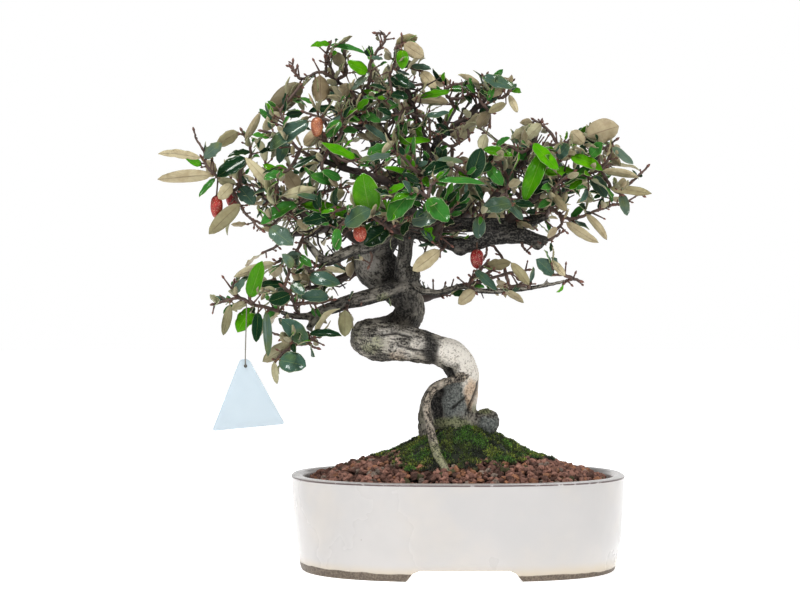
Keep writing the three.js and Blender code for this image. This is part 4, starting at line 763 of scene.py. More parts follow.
def bark_finish():
    """Streaked grey bark: bare on the bend, dark above, blue-grey at the foot, green in places, with
    painted shade in creases, cracks, holes and under the limbs, and a painted highlight on the knee.
    """
    wood = settings("wood")
    finish = Finish("bark", wood.dark, Roughness=0.8)
    fine, cloud = finish.noise(1.2, 7), finish.noise(8, 6)
    inputs = {"Vector": attribute(finish, "grain", "Vector"), "Scale": 0.7, "Detail": 6}
    streaks = finish.node("TexNoise", {**inputs, "Distortion": 0.5}, "Fac")
    ragged = finish.plus(streaks, 0.4, finish.times(fine, 0.6))
    pits = finish.times(finish.dots(1.7, 0.1, 0.24), finish.span(cloud, 0.4, 0.6, 0.1, 0.75))
    finish.coat(finish.span(ragged, 0.4, 0.6), wood.bark)
    swirl = finish.plus(cloud, 0.7, finish.times(streaks, 0.4))
    finish.coat(finish.span(swirl, 0.52, 0.68), linear(186, 180, 168), 0.75)
    # Each patch: its grain and the span of it, its deep and its high colour, and its strength
    patches = {
        # The dark coat is painted shade in places, and the pale coat is partly a painted highlight on
        # the knee
        "blue": (fine, 0.34, 0.66, linear(82, 87, 85), linear(146, 149, 145), 1),
        "pale": (ragged, 0.32, 0.52, linear(160, 151, 140), wood.pale, 1),
        "warm": (fine, 0.36, 0.6, linear(166, 130, 98), linear(214, 186, 154), 0.75),
        "dark": (ragged, 0.45, 0.62, linear(19, 18, 18), linear(98, 95, 90), 1),
        "lichen": (fine, 0.35, 0.6, linear(66, 78, 40), linear(150, 154, 112), 0.7),
    }
    for name, (grain, low, high, deep, raised, most) in patches.items():
        own = finish.mix(finish.span(grain, low, high), deep, raised)
        if name == "pale":
            own = finish.mix(pits, own, linear(96, 86, 78))
        reach = 1.2 if name == "lichen" else 0.9
        worn = finish.plus(ragged, reach, attribute(finish, name))
        finish.coat(finish.span(worn, reach / 2 + 0.16, reach / 2 + 0.8), own, most)
    # Painted shade: the cracks and holes are coloured near black
    finish.coat(attribute(finish, "shaded_crack"), linear(24, 20, 17))
    height = finish.plus(ragged, 0.8, finish.times(finish.noise(0.6, 5), 0.25))
    return finish.done(finish.plus(pits, -0.15, height), 1.0)


def glaze_finish():
    """Ivory glaze over stoneware: bare at the foot, stained above it, broken brown at the rim."""
    pot = settings("pot")
    finish = Finish("ivory_glaze", pot.glaze, Coat_Weight=0.25, Coat_Roughness=0.12)
    height, cloud = finish.axis("Z"), finish.noise(60, 4)
    finish.coat(finish.span(cloud, 0.35, 0.65), linear(192, 190, 189))
    finish.coat(finish.noise(34, 3, 0.45, 0.75, 0, 0.35), linear(208, 200, 190))
    finish.coat(finish.dots(16, 0.012, 0.03), linear(120, 104, 92), 0.6)
    stain = finish.plus(finish.noise(11, 5), 0.003, height)
    finish.coat(finish.span(stain, 0.0045, 0.0125, 1, 0), linear(204, 188, 160), 0.6)
    lip = finish.times(attribute(finish, "lip"), finish.noise(6, 4, 0.28, 0.42))
    finish.coat(lip, pot.line)
    band = finish.plus(finish.noise(14, 4), 0.0022, finish.plus(finish.axis("X"), 0.012, height))
    foot_edge = pot.foot_band / 1000 + 0.0022
    band = finish.span(band, foot_edge - 0.0004, foot_edge + 0.0004, 1, 0)
    finish.coat(band, finish.mix(finish.noise(1.2, 6, 0.35, 0.65), pot.clay, linear(96, 86, 76)))
    finish.set(Roughness=finish.plus(band, 0.5, finish.span(cloud, 0.3, 0.7, 0.22, 0.34)))
    broad = finish.times(finish.noise(22, 3), 0.9)
    return finish.done(finish.plus(finish.noise(0.9, 5), finish.plus(band, 0.9, 0.05), broad), 0.35)


def tinted_finish(name, dark_share, size, depth, **values):
    """A rough finish whose colour is each grain's or sprig's own, mottled."""
    finish = Finish(name, None, **values)
    tint = attribute(finish, "tint", "Color")
    finish.colour = finish.dyed(tint, (dark_share,) * 3)
    finish.coat(finish.noise(size, 5, 0.35, 0.65), tint)
    return finish.done(finish.noise(size / 2, 5), depth)


def fruit_finish():
    """Red skin under a scatter of pale scales."""
    finish = Finish("fruit_skin", None, Roughness=0.4, Coat_Weight=0.2, Coat_Roughness=0.1)
    finish.colour = tint = attribute(finish, "tint", "Color")
    finish.coat(finish.noise(4, 3, 0.35, 0.65), finish.dyed(tint, (0.6, 0.45, 0.45)))
    scales = finish.dots(0.75, 0.16, 0.36)
    finish.coat(finish.times(scales, finish.noise(3, 2, 0.35, 0.6, 0.45, 1)), linear(222, 190, 158))
    return finish.done(scales, 0.06)


def tag_finish():
    """Thin milky plastic."""
    finish = Finish("milky_plastic", linear(204, 217, 225),
                    Roughness=0.28, Transmission_Weight=0.22, IOR=1.46)
    finish.coat(finish.noise(9, 3), linear(211, 223, 230))
    return finish.done(finish.noise(12, 2), 0.05)


def thread_finish():
    """Twisted cotton."""
    finish = Finish("cotton", linear(96, 92, 84), Roughness=0.85, Sheen_Weight=0.4)
    inputs = {"Vector": finish.where(), "Scale": 900, "Distortion": 0.4}
    twist = finish.node("TexWave", inputs, "Fac", bands_direction="DIAGONAL")
    finish.coat(twist, linear(150, 144, 132))
    return finish.done(twist, 0.12)


def net_finish():
    """Moulded plastic netting with dust on it."""
    finish = Finish("net_plastic", linear(36, 48, 40), Roughness=0.55)
    finish.coat(finish.noise(3, 5, 0.5, 0.75, 0, 0.6), linear(110, 84, 72))
    return finish.done(finish.noise(0.7, 4), 0.1)


# Leaves

def tone_colours(tone, draw):
    """Upper and lower colour of a leaf. Every leaf varies a little."""
    leaf = settings("leaf")
    uppers = {"bright": leaf.bright, "dark": leaf.dark, "teal": leaf.teal, "silver": leaf.teal}
    # The lightest upper tone is a lighter copy of the silvery leaf: partly its bloom of scales, partly
    # a painted sheen
    upper = np.array(uppers.get(tone, leaf.mid)) * ((1.75, 1.4, 1.45) if tone == "silver" else 1)
    lower = np.array(leaf.cream if tone == "cream" else leaf.tan)
    # The olive underside is a much darker copy of the underside: partly its olive-brown, partly painted
    # shade
    lower = lower * {"khaki": (0.78, 0.8, 0.7), "olive": (0.45, 0.42, 0.36)}.get(tone, 1)
    shade = 0.82 + 0.36 * draw()
    warm = 0.92 + 0.16 * draw()
    return upper * shade * (warm, 1, 1), lower * (0.85 + 0.25 * draw()) * (warm, 1, 1)


@functools.lru_cache(maxsize=None)
def blade_net(rows, columns):
    """The stations, faces and finishes that every blade of one fineness has."""
    s = np.linspace(0, 1, rows)
    shares = np.maximum(0, 1 - (2 * s**0.9 - 1) ** 2) ** 0.62
    shares[[0, -1]] = 0.03
    c = np.linspace(-1, 1, columns)
    faces, finishes = [], []
    below = rows * columns
    for i in range(rows - 1):
        for k in range(columns - 1):
            a = i * columns + k
            faces.append((a, a + 1, a + columns + 1, a + columns))
            faces.append((below + a, below + a + columns, below + a + columns + 1, below + a + 1))
            finishes += [1, 2]
    rim = [i * columns for i in range(rows)]
    rim += [(rows - 1) * columns + k for k in range(1, columns)]
    rim += [i * columns + columns - 1 for i in range(rows - 2, -1, -1)]
    rim += list(range(columns - 2, 0, -1))
    for a, b in zip(rim, rim[1:] + rim[:1]):
        faces.append((a, b, below + b, below + a))
        finishes.append(1)
    places = [(0.5 + side / 2, along) for along in s for side in c]
    return s, shares, c, faces, finishes, places + places


def blade(shape, base, tip, width, normal, tone, draw, rows=11, columns=7):
    """A closed thin leaf with a fold along its rib, a bow along its length and a wavy edge."""
    leaf = settings("leaf")
    s, shares, c, faces, finishes, places = blade_net(rows, columns)
    length = np.linalg.norm(tip - base)
    along = (tip - base) / length
    side = unit(np.cross(along, normal))
    half = width / 2
    bow = (-0.03 + 0.15 * draw()) * length
    fold = -0.1 + 0.6 * draw()
    skew = (draw() - 0.5) * 0.2 * length
    waves, left, right = 1.6 + 1.8 * draw(), 6.3 * draw(), 6.3 * draw()
    twist = (draw() - 0.5) * 0.9
    wave = leaf.wave * (0.4 + 1.2 * draw())
    curl = (draw() - 0.4) * 0.22 * length
    turn = (twist * (s - 0.3))[:, None]
    across = side * np.cos(turn) + normal * np.sin(turn)
    up = normal * np.cos(turn) - side * np.sin(turn)
    drop = bow * (0.5 - (2 * s - 1) ** 2) - curl * np.maximum(0, s - 0.55) ** 2 / 0.2
    drop = drop * np.minimum(1, s / 0.15)
    middle = base + np.outer(s, along) * length + np.outer(drop, normal)
    middle = middle + np.outer(skew * s * (1 - s), side)
    edge = wave * c**2 * np.sin(waves * 6.3 * s[:, None] + np.where(c < 0, left, right))
    lift = (fold * np.abs(c) ** 1.5 + edge) * half * shares[:, None]
    reach = half * np.outer(shares, c)
    upper = middle[:, None] + across[:, None] * reach[..., None] + up[:, None] * lift[..., None]
    lower = upper - up[:, None] * (leaf.thickness * (1 - 0.45 * np.abs(c)))[None, :, None]
    tints = np.repeat(tone_colours(tone, draw), rows * columns, axis=0)
    shape.add(np.vstack([upper.reshape(-1, 3), lower.reshape(-1, 3)]), faces, tints, finishes, places)


def leaf(shape, start, base, tip, width, normal, tone, draw, rows=11, columns=7):
    """A leaf with its stalk, which starts inside the twig."""
    middle = (start + base) / 2 - UP * 0.12 * np.linalg.norm(base - start)
    ahead = base + (tip - base) * 0.06
    line = [start, start * 0.45 + middle * 0.55, middle * 0.6 + base * 0.4, base, ahead]
    shape.tube(line, [0.5, 0.42, 0.36, 0.36, 0.2], 5, (1.5, 1.35, 0.85))
    blade(shape, base, tip, width, normal, tone, draw, rows, columns)


def vectors(items, key):
    """The vector that each of a mesh's items holds under a key."""
    values = np.zeros(len(items) * 3)
    items.foreach_get(key, values)
    return values.reshape(-1, 3)


def search_tree(points):
    tree = kdtree.KDTree(len(points))
    for i, point in enumerate(points):
        tree.insert(point, i)
    tree.balance()
    return tree


def standing_places(node):
    """The corners of a CAD shoot, from which each of its leaves is known by its tip."""
    return search_tree(vectors(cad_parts[node].data.vertices, "co") * 1000 - POT_MIDDLE)


def stands(tree, tip):
    return tree.find(tip)[2] < FOUND_WITHIN


def nearest_twig(twigs, leaf_row):
    """The twig of the front that a leaf of the photograph grows from, and the point on it."""
    u, v, tip_u, tip_v = leaf_row[:4]
    best = (math.inf, None, None)
    for name, stems in twigs.items():
        for stem in stems:
            for i in range(1, TWIG_SAMPLES):
                point = stem.facet(i / TWIG_SAMPLES)
                base = seen([u, v, point[1]])
                along = unit(seen([tip_u, tip_v, point[1]]) - base)
                reach = base - point
                distance = np.linalg.norm(reach)
                straight = reach @ along / distance
                cost = distance * (2 - straight)
                if straight > -0.8 and cost < best[0]:
                    best = (cost, name, point)
    return best[1:]


def leaf_tone(row, number):
    """The tone of a leaf: as it looks where that is plain, or drawn."""
    if len(row) > 6:
        return row[6]
    draw = dice(70001 + number * 17)
    draw()
    if row[5] < 0:
        return "cream" if draw() < 0.2 else "khaki" if draw() < 0.35 else "tan"
    return ("bright", "mid", "mid", "dark", "mid", "teal", "dark")[int(draw() * 7)]


def seen_leaf(row, number, point, shift):
    u, v, tip_u, tip_v, width, face = row[:6]
    lean = (dice(4001 + number)() - 0.6) * LEAN
    base = seen([u, v, point[1] + shift])
    tip = seen([tip_u, tip_v, point[1] + shift + lean])
    angle = math.radians(face)
    normal = square_to(tip - base, UP * math.cos(angle) + TO_VIEWER * math.sin(angle))
    return base, tip, width * PIXEL, normal


def filler_leaf(stem, spray_number, twig_number, i, count, attempt):
    draw = dice(spray_number * 10007 + twig_number * 1009 + i * 101 + attempt * 11 + 5)
    place = (i + 0.8) / count
    start = stem.facet(place)
    forward = unit(start - stem.facet(place - 0.04))
    across = square_to(forward, np.array([-forward[1], forward[0], 0.001]))
    over = np.cross(forward, across)
    turn = math.pi * i + (draw() - 0.5) * 2.6
    spread = math.radians(28 + 42 * draw()) * (0.35 if i == count - 1 else 1)
    along = unit(forward * math.cos(spread) + across * math.sin(spread) * math.cos(turn)
                 + over * math.sin(spread) * math.sin(turn) - UP * 0.12)
    length = 15 + 9 * draw()
    width = length * (0.4 + 0.14 * draw())
    outward = unit(np.array([start[0], start[1], 0]))
    face = math.radians(-25 + 90 * draw())
    base = start + along * STALK_LENGTH
    normal = square_to(along, UP * math.cos(face) + outward * math.sin(face))
    return start, base, base + along * length, width, normal


# Where the sky shows past the leaves and between them: [left, top, right, bottom] in pixels
SKY = [
    [262, 44, 320, 73], [505, 96, 580, 120], [250, 246, 300, 257], [212, 244, 237, 279],
    [254, 74, 284, 100], [450, 256, 472, 284], [500, 298, 520, 318], [452, 138, 473, 160],
    [444, 56, 462, 78], [344, 230, 359, 247], [424, 271, 441, 288], [556, 230, 594, 254],
    [505, 268, 524, 286], [244, 223, 259, 242], [597, 212, 615, 227], [574, 281, 614, 294],
    [231, 111, 246, 126], [466, 298, 483, 314], [487, 117, 497, 139], [393, 28, 410, 40],
    [471, 127, 483, 141], [498, 127, 508, 138], [426, 296, 442, 312], [432, 254, 458, 290],
    [540, 110, 580, 131], [466, 245, 488, 275], [205, 190, 242, 222], [515, 246, 542, 266],
    [480, 52, 499, 72], [255, 243, 284, 261], [592, 208, 618, 222], [205, 282, 218, 298],
    [250, 116, 263, 135], [492, 242, 516, 262], [532, 268, 545, 286], [308, 114, 326, 138],
    [150, 60, 235, 128], [600, 60, 700, 120], [200, 340, 262, 380], [430, 300, 640, 400],
    [421, 309, 436, 331], [493, 262, 510, 281], [528, 286, 552, 297],
]


def in_sky(base, tip):
    """Whether a leaf would stand where the sky shows."""
    u, v = in_picture(np.array([(base + tip) / 2, tip]))
    return any((u[k] - left) * (right - u[k]) > 0 and (v[k] - top) * (bottom - v[k]) > 0
               for left, top, right, bottom in SKY for k in (0, 1))


def roomy(point, margin=1.5):
    """Whether a place from the pot's middle lies within the outline of the whole tree."""
    placed = point + POT_MIDDLE
    low, high = 1000 * np.array(CAD_LOW) + margin, 1000 * np.array(CAD_HIGH) - margin
    return (placed > low).all() and (placed < high).all()


# The tones that small young leaves are drawn from. One listed more often is more common.
YOUNG_TONES = ("mid", "dark", "teal", "dark", "mid", "khaki", "mid", "bright", "dark", "teal")


def spurs(shape, stem, seed, spacing, leafy, longest=7, largest=13):
    """Short side shoots along a twig, each with a bud and small young leaves."""
    draw = dice(seed)
    count = max(2, int(stem.length() / spacing))
    for i in range(count):
        part = (i + 0.2 + 0.7 * draw()) / count
        if part > 0.99:
            continue
        start = stem.point(part)
        forward = unit(stem.point(min(1, part + 0.02)) - stem.point(max(0, part - 0.02)))
        across = square_to(forward, UP + 0.01 * TO_VIEWER)
        over = np.cross(forward, across)
        turn = 2 * math.pi * draw()
        ahead = 0.2 + 0.5 * draw()
        way = unit(forward * ahead + across * math.cos(turn) + over * math.sin(turn) + UP * 0.15)
        reach = 1.8 + longest * draw() ** 2
        bend = over * (draw() - 0.5) * reach * 0.4
        line = [start, start + way * reach * 0.5 + bend * 0.5, start + way * reach + bend]
        shape.tube(line, [0.66, 0.54, 0.42], 5, (1.1, 1, 1))
        bud(shape, line[-1], unit(line[-1] - line[1]), 0.6 + 0.3 * draw(), draw)
        if draw() > leafy:
            continue
        outward = unit(np.array([start[0], start[1], 0]))
        for _ in range(1 + int(2.6 * draw())):
            loose = np.array([draw() - 0.5, draw() - 0.5, draw() - 0.35])
            out = unit(way + 1.6 * loose)
            size = largest * (0.45 + 0.55 * draw())
            base = line[-1] + out * 1.4
            if not roomy(base + out * size) or in_sky(base, base + out * size):
                continue
            normal = square_to(out, UP * draw() + outward * 0.9 + 0.9 * loose)
            tone = YOUNG_TONES[int(len(YOUNG_TONES) * draw())]
            leaf(shape, line[-1], base, base + out * size, size * (0.36 + 0.14 * draw()),
                 normal, tone, draw, 7, 5)


def tangle(shape, stem, seed):
    """Bare twigs that cross each other inside the crown, tinted dark as painted shade."""
    draw = dice(seed)
    count = int(stem.length() / TANGLE_SPACING)
    for i in range(count):
        start = stem.point((i + draw()) / count)
        way = unit(np.array([draw() - 0.5, draw() - 0.5, 0.9 * (draw() - 0.4)]))
        reach = 12 + 16 * draw()
        bend = scatter(draw) * reach * 0.5
        line = [start + way * reach * share + bend * aside
                for share, aside in ((0, 0), (0.35, 0.5), (0.7, 0.4), (1, 1))]
        if roomy(line[-1]) and not in_sky(start, line[-1]):
            # Painted shade: the crossing twigs are tinted dark
            shape.tube(line, [0.75, 0.65, 0.5, 0.35], 4, (0.42, 0.4, 0.38))


def bud(shape, place, way, size, draw):
    """A small pointed bud."""
    line = [place - way * 0.3] + [place + way * size * reach for reach in (0.7, 1.8, 2.8)]
    radii = [0.5 * size, 0.95 * size, 0.75 * size, 0.12 * size]
    shape.tube(line, radii, 6, (1.3 + 0.35 * draw(), 1.08, 1.0))


def twig_tube(shape, stem, root_radius, tip_radius, seed, knobbly=0.18):
    """An uneven twig that ends in a bud."""
    draw = dice(seed)
    parts, line = stem.stations(6)
    radii = [(root_radius + (tip_radius - root_radius) * part) * (1 + knobbly * (draw() - 0.5) * 2)
             for part in parts]
    jitter = np.array([scatter(draw) for _ in line]) * 0.5
    jitter[0] = 0
    shape.tube(np.array(line) + jitter, radii, 7)
    bud(shape, line[-1], unit(line[-1] - line[-2]), 1.0, draw)


def spray_piece(number, name, stems, front, seen_rows):
    """One leafy shoot: its twigs, the leaves that the CAD shoot carries, and small shoots."""
    shape = Shape()
    tree = standing_places("spray_" + name)
    for k, stem in enumerate(stems):
        twig_tube(shape, stem, 1.25, 0.8, 5003 + number * 31 + k)
        spurs(shape, stem, 9001 + number * 71 + k * 7, 3.0 if front else 4.8, 0.85)
    for row_number, row, point in seen_rows:
        tone = leaf_tone(row, row_number)
        tries = (seen_leaf(row, row_number, point, shift) for shift in SHIFTS)
        base, tip, width, normal = next((place for place in tries if stands(tree, place[1])),
                                        seen_leaf(row, row_number, point, LAST_SHIFT))
        leaf(shape, point, base, tip, width, normal, tone, dice(30011 + row_number * 13))
    spacing = FRONT_SPACING if front else BACK_SPACING
    for k, stem in enumerate(stems):
        count = max(1, round(stem.length() / spacing))
        for i in range(count):
            for attempt in range(TRIES):
                start, base, tip, width, normal = filler_leaf(stem, number, k, i, count, attempt)
                if stands(tree, tip) and not in_sky(base, tip):
                    draw = dice(60013 + number * 997 + k * 89 + i * 7)
                    draw()
                    tone = ("mid", "dark", "bright", "teal", "mid")[int(5 * draw())]
                    leaf(shape, start, base, tip, width, normal, tone, draw)
                    break
    return shape.piece("leafy_" + name, leafy_materials(), "leaf", ["spray_" + name])


# Wood

# The boughs that are tubes of their own. All other limbs are joined in one skin.
THIN_LIMBS = {name for name, rows in WOOD.items() if name.startswith(("canopy", "back", "front"))}
THIN_LIMBS |= {"crown_left", "crown_top_left", "crown_top", "crown_right"}

# Round knots of the wood: [u, v, depth, radius in mm]
KNOTS = [[486, 421, -1, 8.4], [390, 290, -3, 6.2], [413, 275, -1, 5.2], [537, 244, -13, 4.4],
         [460, 248, -7, 5.4], [405, 236, -1, 5.8]]

# Thorns and spurs on the bare wood: [u, v, depth] of the root, then [u, v] of the point
THORNS = [[430, 292, -8, 427, 283], [442, 292, -10, 446, 284], [456, 288, -13, 457, 282],
          [470, 288, -14, 474, 280], [520, 289, -19, 524, 281], [544, 286, -21, 548, 278],
          [350, 250, -14, 345, 260], [335, 306, -16, 331, 298], [448, 224, 4, 452, 214]]

# Bare twigs and dead ends without leaves of their own: [u, v, depth]
FINE_TWIGS = [
    [[206, 160, -29], [203, 150, -30], [196, 138, -30], [194, 131, -30]],
    [[241, 206, -22], [244, 212, -23], [250, 218, -24], [256, 225, -25], [262, 230, -25]],
    [[307, 343, -25], [298, 344, -28], [283, 337, -30], [267, 331, -31]],
    [[307, 341, -24], [312, 346, -26], [317, 348, -26]],
    [[598, 210, -14], [606, 207, -15], [613, 205, -15], [622, 204, -16], [632, 199, -17],
        [640, 193, -17]],
    [[621, 194, -19], [627, 186, -19], [636, 178, -18], [647, 167, -18]],
    [[600, 150, -16], [608, 146, -16], [616, 140, -16]],
    [[326, 77, 5], [326, 68, 5], [325, 58, 4]],
    [[344, 76, 3], [343, 66, 2], [344, 57, 2]],
    [[296, 74, -2], [293, 68, -3], [293, 62, -3]],
    [[455, 126, -6], [458, 134, -10], [459, 141, -11]],
    [[462, 121, -8], [467, 128, -12], [469, 138, -13]],
    [[446, 122, 0], [440, 128, -8], [441, 137, -10]],
    [[485, 241, -9], [487, 251, -12], [484, 258, -14]],
    [[520, 238, -12], [523, 247, -15], [528, 252, -17]],
    [[548, 241, -14], [556, 236, -15], [562, 232, -16]],
    [[369, 247, -12], [372, 258, -16], [369, 266, -18]],
    [[325, 261, -16], [318, 266, -18], [308, 268, -20]],
]

# Those of the fine twigs that carry no side shoots
BARE_FINE_TWIGS = (0, 3, 6)

# Patches of the wood as they are seen: [u, v, half width, half height] in pixels, and strength
PATCHES = {
    "pale": [[382, 342, 26, 14, 0.35], [460, 350, 26, 16, 1], [472, 372, 13, 24, 1],
        [475, 394, 7, 14, 0.8], [405, 351, 17, 9, 0.45], [394, 333, 26, 8, 0.45],
        # The knee's pale patch is partly its whitish swirls and partly a painted highlight on its left
        # side
        [416, 345, 10, 11, 0.5], [362, 331, 9, 7, 0.35], [370, 262, 12, 14, 0.58],
        [401, 268, 5, 18, 0.3]],
    # Some dark patches are painted shade: the V under the aerial root's arch, the hollow at the hole,
    # the crease where the left run meets the upper trunk, the underside of the left run and the right
    # side of the knee. The others darken the band on the bend and the upper wood.
    "dark": [[430, 349, 9, 20, 0.75], [404, 304, 18, 20, 0.62], [400, 262, 60, 34, 0.5],
        [390, 282, 22, 10, 0.6], [409, 250, 12, 24, 0.6], [391, 262, 9, 30, 0.8],
        [480, 232, 90, 22, 0.95], [437, 404, 6, 24, 0.95], [447, 374, 9, 5, 0.8],
        [376, 358, 18, 4, 0.4], [330, 290, 60, 34, 0.5], [410, 170, 120, 60, 0.7],
        [395, 317, 26, 4, 0.6]],
    "lichen": [[373, 345, 14, 10, 0.5], [357, 336, 6, 10, 0.3], [484, 407, 12, 6, 0.7],
        [452, 424, 22, 8, 0.7], [383, 297, 8, 6, 0.5], [424, 415, 7, 20, 0.3]],
    "blue": [[453, 398, 16, 24, 0.9], [487, 426, 12, 11, 0.9]],
    "warm": [[472, 388, 8, 12, 0.7], [470, 400, 6, 10, 0.6], [398, 356, 12, 6, 0.35]],
}
# How strong the patches are all over the aerial root. Lichen starts near the moss there.
ROOT_WEAR = {"pale": 0.25, "dark": 0.0, "blue": 0.0, "warm": 0.3}
# Lines of the picture along which the bark is cracked. Each crack is dented and painted near black as
# the shade in it.
CRACKS = [
    [[478, 382], [476, 391], [473, 400], [468, 411]], [[466, 397], [459, 402], [452, 408]],
    [[442, 366], [449, 371], [456, 377]], [[397, 345], [410, 350], [424, 352]],
    [[383, 334], [395, 332], [409, 336]], [[474, 352], [482, 362], [485, 372]],
]
# Holes in the bark: [u, v, reach] in pixels. Each is dented and painted near black as the shade in it.
HOLES = [[449, 371, 3.2], [433, 366, 2.2], [417, 330, 1.8]]


def in_picture(points):
    """Where places on the tree lie in the picture."""
    scale = PIXEL * (1 + points[:, 1] / EYE_RANGE)
    u = (points[:, 0] + POT_ASIDE) / scale + PICTURE_MIDDLE[0]
    return u, PICTURE_MIDDLE[1] - (points[:, 2] - EYE_HEIGHT) / scale


def fade(value, near, far):
    """1 at or below near, 0 at or above far, smooth between."""
    t = np.clip((far - value) / (far - near), 0, 1)
    return t * t * (3 - 2 * t)


def off_line(u, v, line):
    """Distance in pixels from a line of the picture."""
    best = np.full(len(u), np.inf)
    for (u0, v0), (u1, v1) in zip(line, line[1:]):
        du, dv = u1 - u0, v1 - v0
        t = np.clip(((u - u0) * du + (v - v0) * dv) / (du * du + dv * dv), 0, 1)
        best = np.minimum(best, np.hypot(u - u0 - t * du, v - v0 - t * dv))
    return best


def noises(points, size, seed=0):
    """Smooth noise from about -1 to 1 at each point, with features of a size in mm."""
    shift = Vector((17.3 * seed, 5.1 * seed, 9.7 * seed))
    return np.array([noise.noise(Vector(p) / size + shift) for p in points])


def ridges(points, size, seed=0):
    """Noise with sharp grooves: near 0 in a groove and 1 away from it."""
    return np.clip(np.abs(noises(points, size, seed)) * 3.2, 0, 1)


def limb_line(name, steps):
    """A limb's stations and its radius at each."""
    stem = Stem(WOOD[name])
    parts, line = stem.stations(steps)
    return np.array(line), np.array([stem.radius(part) for part in parts])


def limb_surface(shape, name, steps, sides):
    """A thick limb with a lumpy round section."""
    line, radii = limb_line(name, steps)
    seed = len(name) + 3 * int(radii[0])
    turns = 2 * np.pi * np.arange(sides) / sides
    rings = []
    for run, radius in zip(runs_along(line), radii):
        spots = [(2.2 * math.cos(t), 2.2 * math.sin(t), run / (14 + radius)) for t in turns]
        rings.append(radius * (1 + 0.1 * noises(spots, 1.6, seed)))
    shape.tube(line, rings, sides)


def grain_space(points, names):
    """For each point of the wood: its place across and along its limb in mm."""
    places, frames, runs = [], [], []
    for number, name in enumerate(names):
        line, _ = limb_line(name, 8)
        ways = directions(line)
        level = square_to(ways[0], UP + 0.3 * TO_VIEWER)
        for place, way, length in zip(line, ways, runs_along(line)):
            level = square_to(way, level)
            places.append(place)
            frames.append((level, np.cross(way, level), way))
            runs.append(length + 37 * number)
    tree = search_tree(places)
    grain = np.zeros((len(points), 3))
    for k, point in enumerate(points):
        i = tree.find(point)[1]
        off = point - places[i]
        level, other, way = frames[i]
        grain[k] = (off @ level, off @ other, runs[i] + off @ way)
    return grain


def paint(mesh, name, values, kind="FLOAT"):
    layer = mesh.attributes.new(name, kind, "POINT")
    layer.data.foreach_set("value" if kind == "FLOAT" else "vector", np.ravel(values))


def changed(piece, *modifiers):
    """The piece's mesh after modifiers, each given as a type and its values."""
    for kind, values in modifiers:
        modifier = piece.modifiers.new(kind.lower(), kind)
        for name, value in values.items():
            setattr(modifier, name, value)
    bpy.context.view_layer.update()
    solid = piece.evaluated_get(bpy.context.evaluated_depsgraph_get())
    mesh = bpy.data.meshes.new_from_object(solid)
    piece.modifiers.clear()
    piece.data = mesh
    return mesh


def patch_masks(points, on_root, u, v):
    """How strong each kind of patch is at each point of the wood."""
    loose_u, loose_v = u + 4 * noises(points, 7, 11), v + 4 * noises(points, 7, 12)
    masks = {}
    for name, patches in PATCHES.items():
        value = np.max([strength * fade(np.hypot((loose_u - pu) / ru, (loose_v - pv) / rv), 0.4, 1.5)
                        for pu, pv, ru, rv, strength in patches], axis=0)
        root_wear = ROOT_WEAR.get(name, 0.65 * (1 - fade(v, 428, 452)))
        masks[name] = np.where(on_root, root_wear, value)
    return masks


def trunk_piece():
    """The thick wood as one grown skin with wrinkled bark, painted by where it is seen."""
    wood = settings("wood")
    shape = Shape()
    thick = [name for name in WOOD if name not in THIN_LIMBS]
    for name in thick:
        limb_surface(shape, name, 8, 24)
    for u, v, depth, radius in KNOTS:
        knob(shape, seen([u, v, depth]), radius)
    for u, v, depth, point_u, point_v in THORNS:
        root, point = seen([u, v, depth]), seen([point_u, point_v, depth - 2])
        shape.tube([root, (root + point) / 2, point], [1.5, 1.0, 0.55], 8)
    piece = shape.piece("trunk_wood", [bark_finish()], "bark", ["trunk"])
    mesh = changed(
        piece,
        ("REMESH", {"mode": "VOXEL", "voxel_size": wood.grain, "use_smooth_shade": True}),
        ("SMOOTH", {"factor": 0.6, "iterations": 4}),
    )
    points = vectors(mesh.vertices, "co") * 1000 - POT_MIDDLE
    normals = vectors(mesh.vertex_normals, "vector")
    root_line, root_radii = limb_line("aerial_root", 8)
    off_root = np.linalg.norm(points[:, None] - root_line, axis=2) - root_radii
    on_root = off_root.min(axis=1) < 0.8
    grain = grain_space(points, [name for name in thick if name != "aerial_root"])
    grain[on_root] = grain_space(points[on_root], ["aerial_root"])
    streak = grain * (1, 1, 0.35)
    u, v = in_picture(points)
    masks = patch_masks(points, on_root, u, v)
    # Painted shade: the wood from the left run up is darkened where it faces downwards
    painted_underside_shade = 0.8 * fade(normals[:, 2], -0.8, 0.1) * fade(v, 318, 345)
    masks["dark"] = np.maximum(masks["dark"], painted_underside_shade)
    facing = fade(normals[:, 1], -0.35, 0.1)
    crooked, lumpy = 0.6 * noises(points, 3, 5), noises(points, 3, 8)
    # The cracks and holes are dented, and painted with the shade in them
    shaded_crack = facing * np.max([fade(off_line(u, v, line) + crooked, 0.5, 2.0) for line in CRACKS], axis=0)
    hole = facing * np.max([fade(np.hypot(u - hole_u, v - hole_v) + lumpy, reach * 0.4, reach * 1.3)
                            for hole_u, hole_v, reach in HOLES], axis=0)
    girth = np.clip(np.linalg.norm(grain[:, :2], axis=1) / 9, 0.25, 1)
    rough = 1 - 0.55 * masks["pale"]
    relief = -(1 - ridges(streak, 3.2, 2)) * 0.7 * rough
    relief += noises(streak, 5, 3) * 0.9 + noises(points, 11, 1) * 1.1
    relief += (noises(points, 1.6, 4) * 0.35 - (1 - ridges(points, 5, 6)) * 0.4) * rough
    relief = relief * wood.relief * girth - shaded_crack * 0.9 - hole * 2.4
    points = points + normals * relief[:, None]
    mesh.vertices.foreach_set("co", to_row(points).ravel())
    for name, values in masks.items():
        paint(mesh, name, values)
    paint(mesh, "shaded_crack", np.maximum(shaded_crack * 0.85, hole))
    paint(mesh, "grain", streak, "FLOAT_VECTOR")
    mesh.update()
    return piece


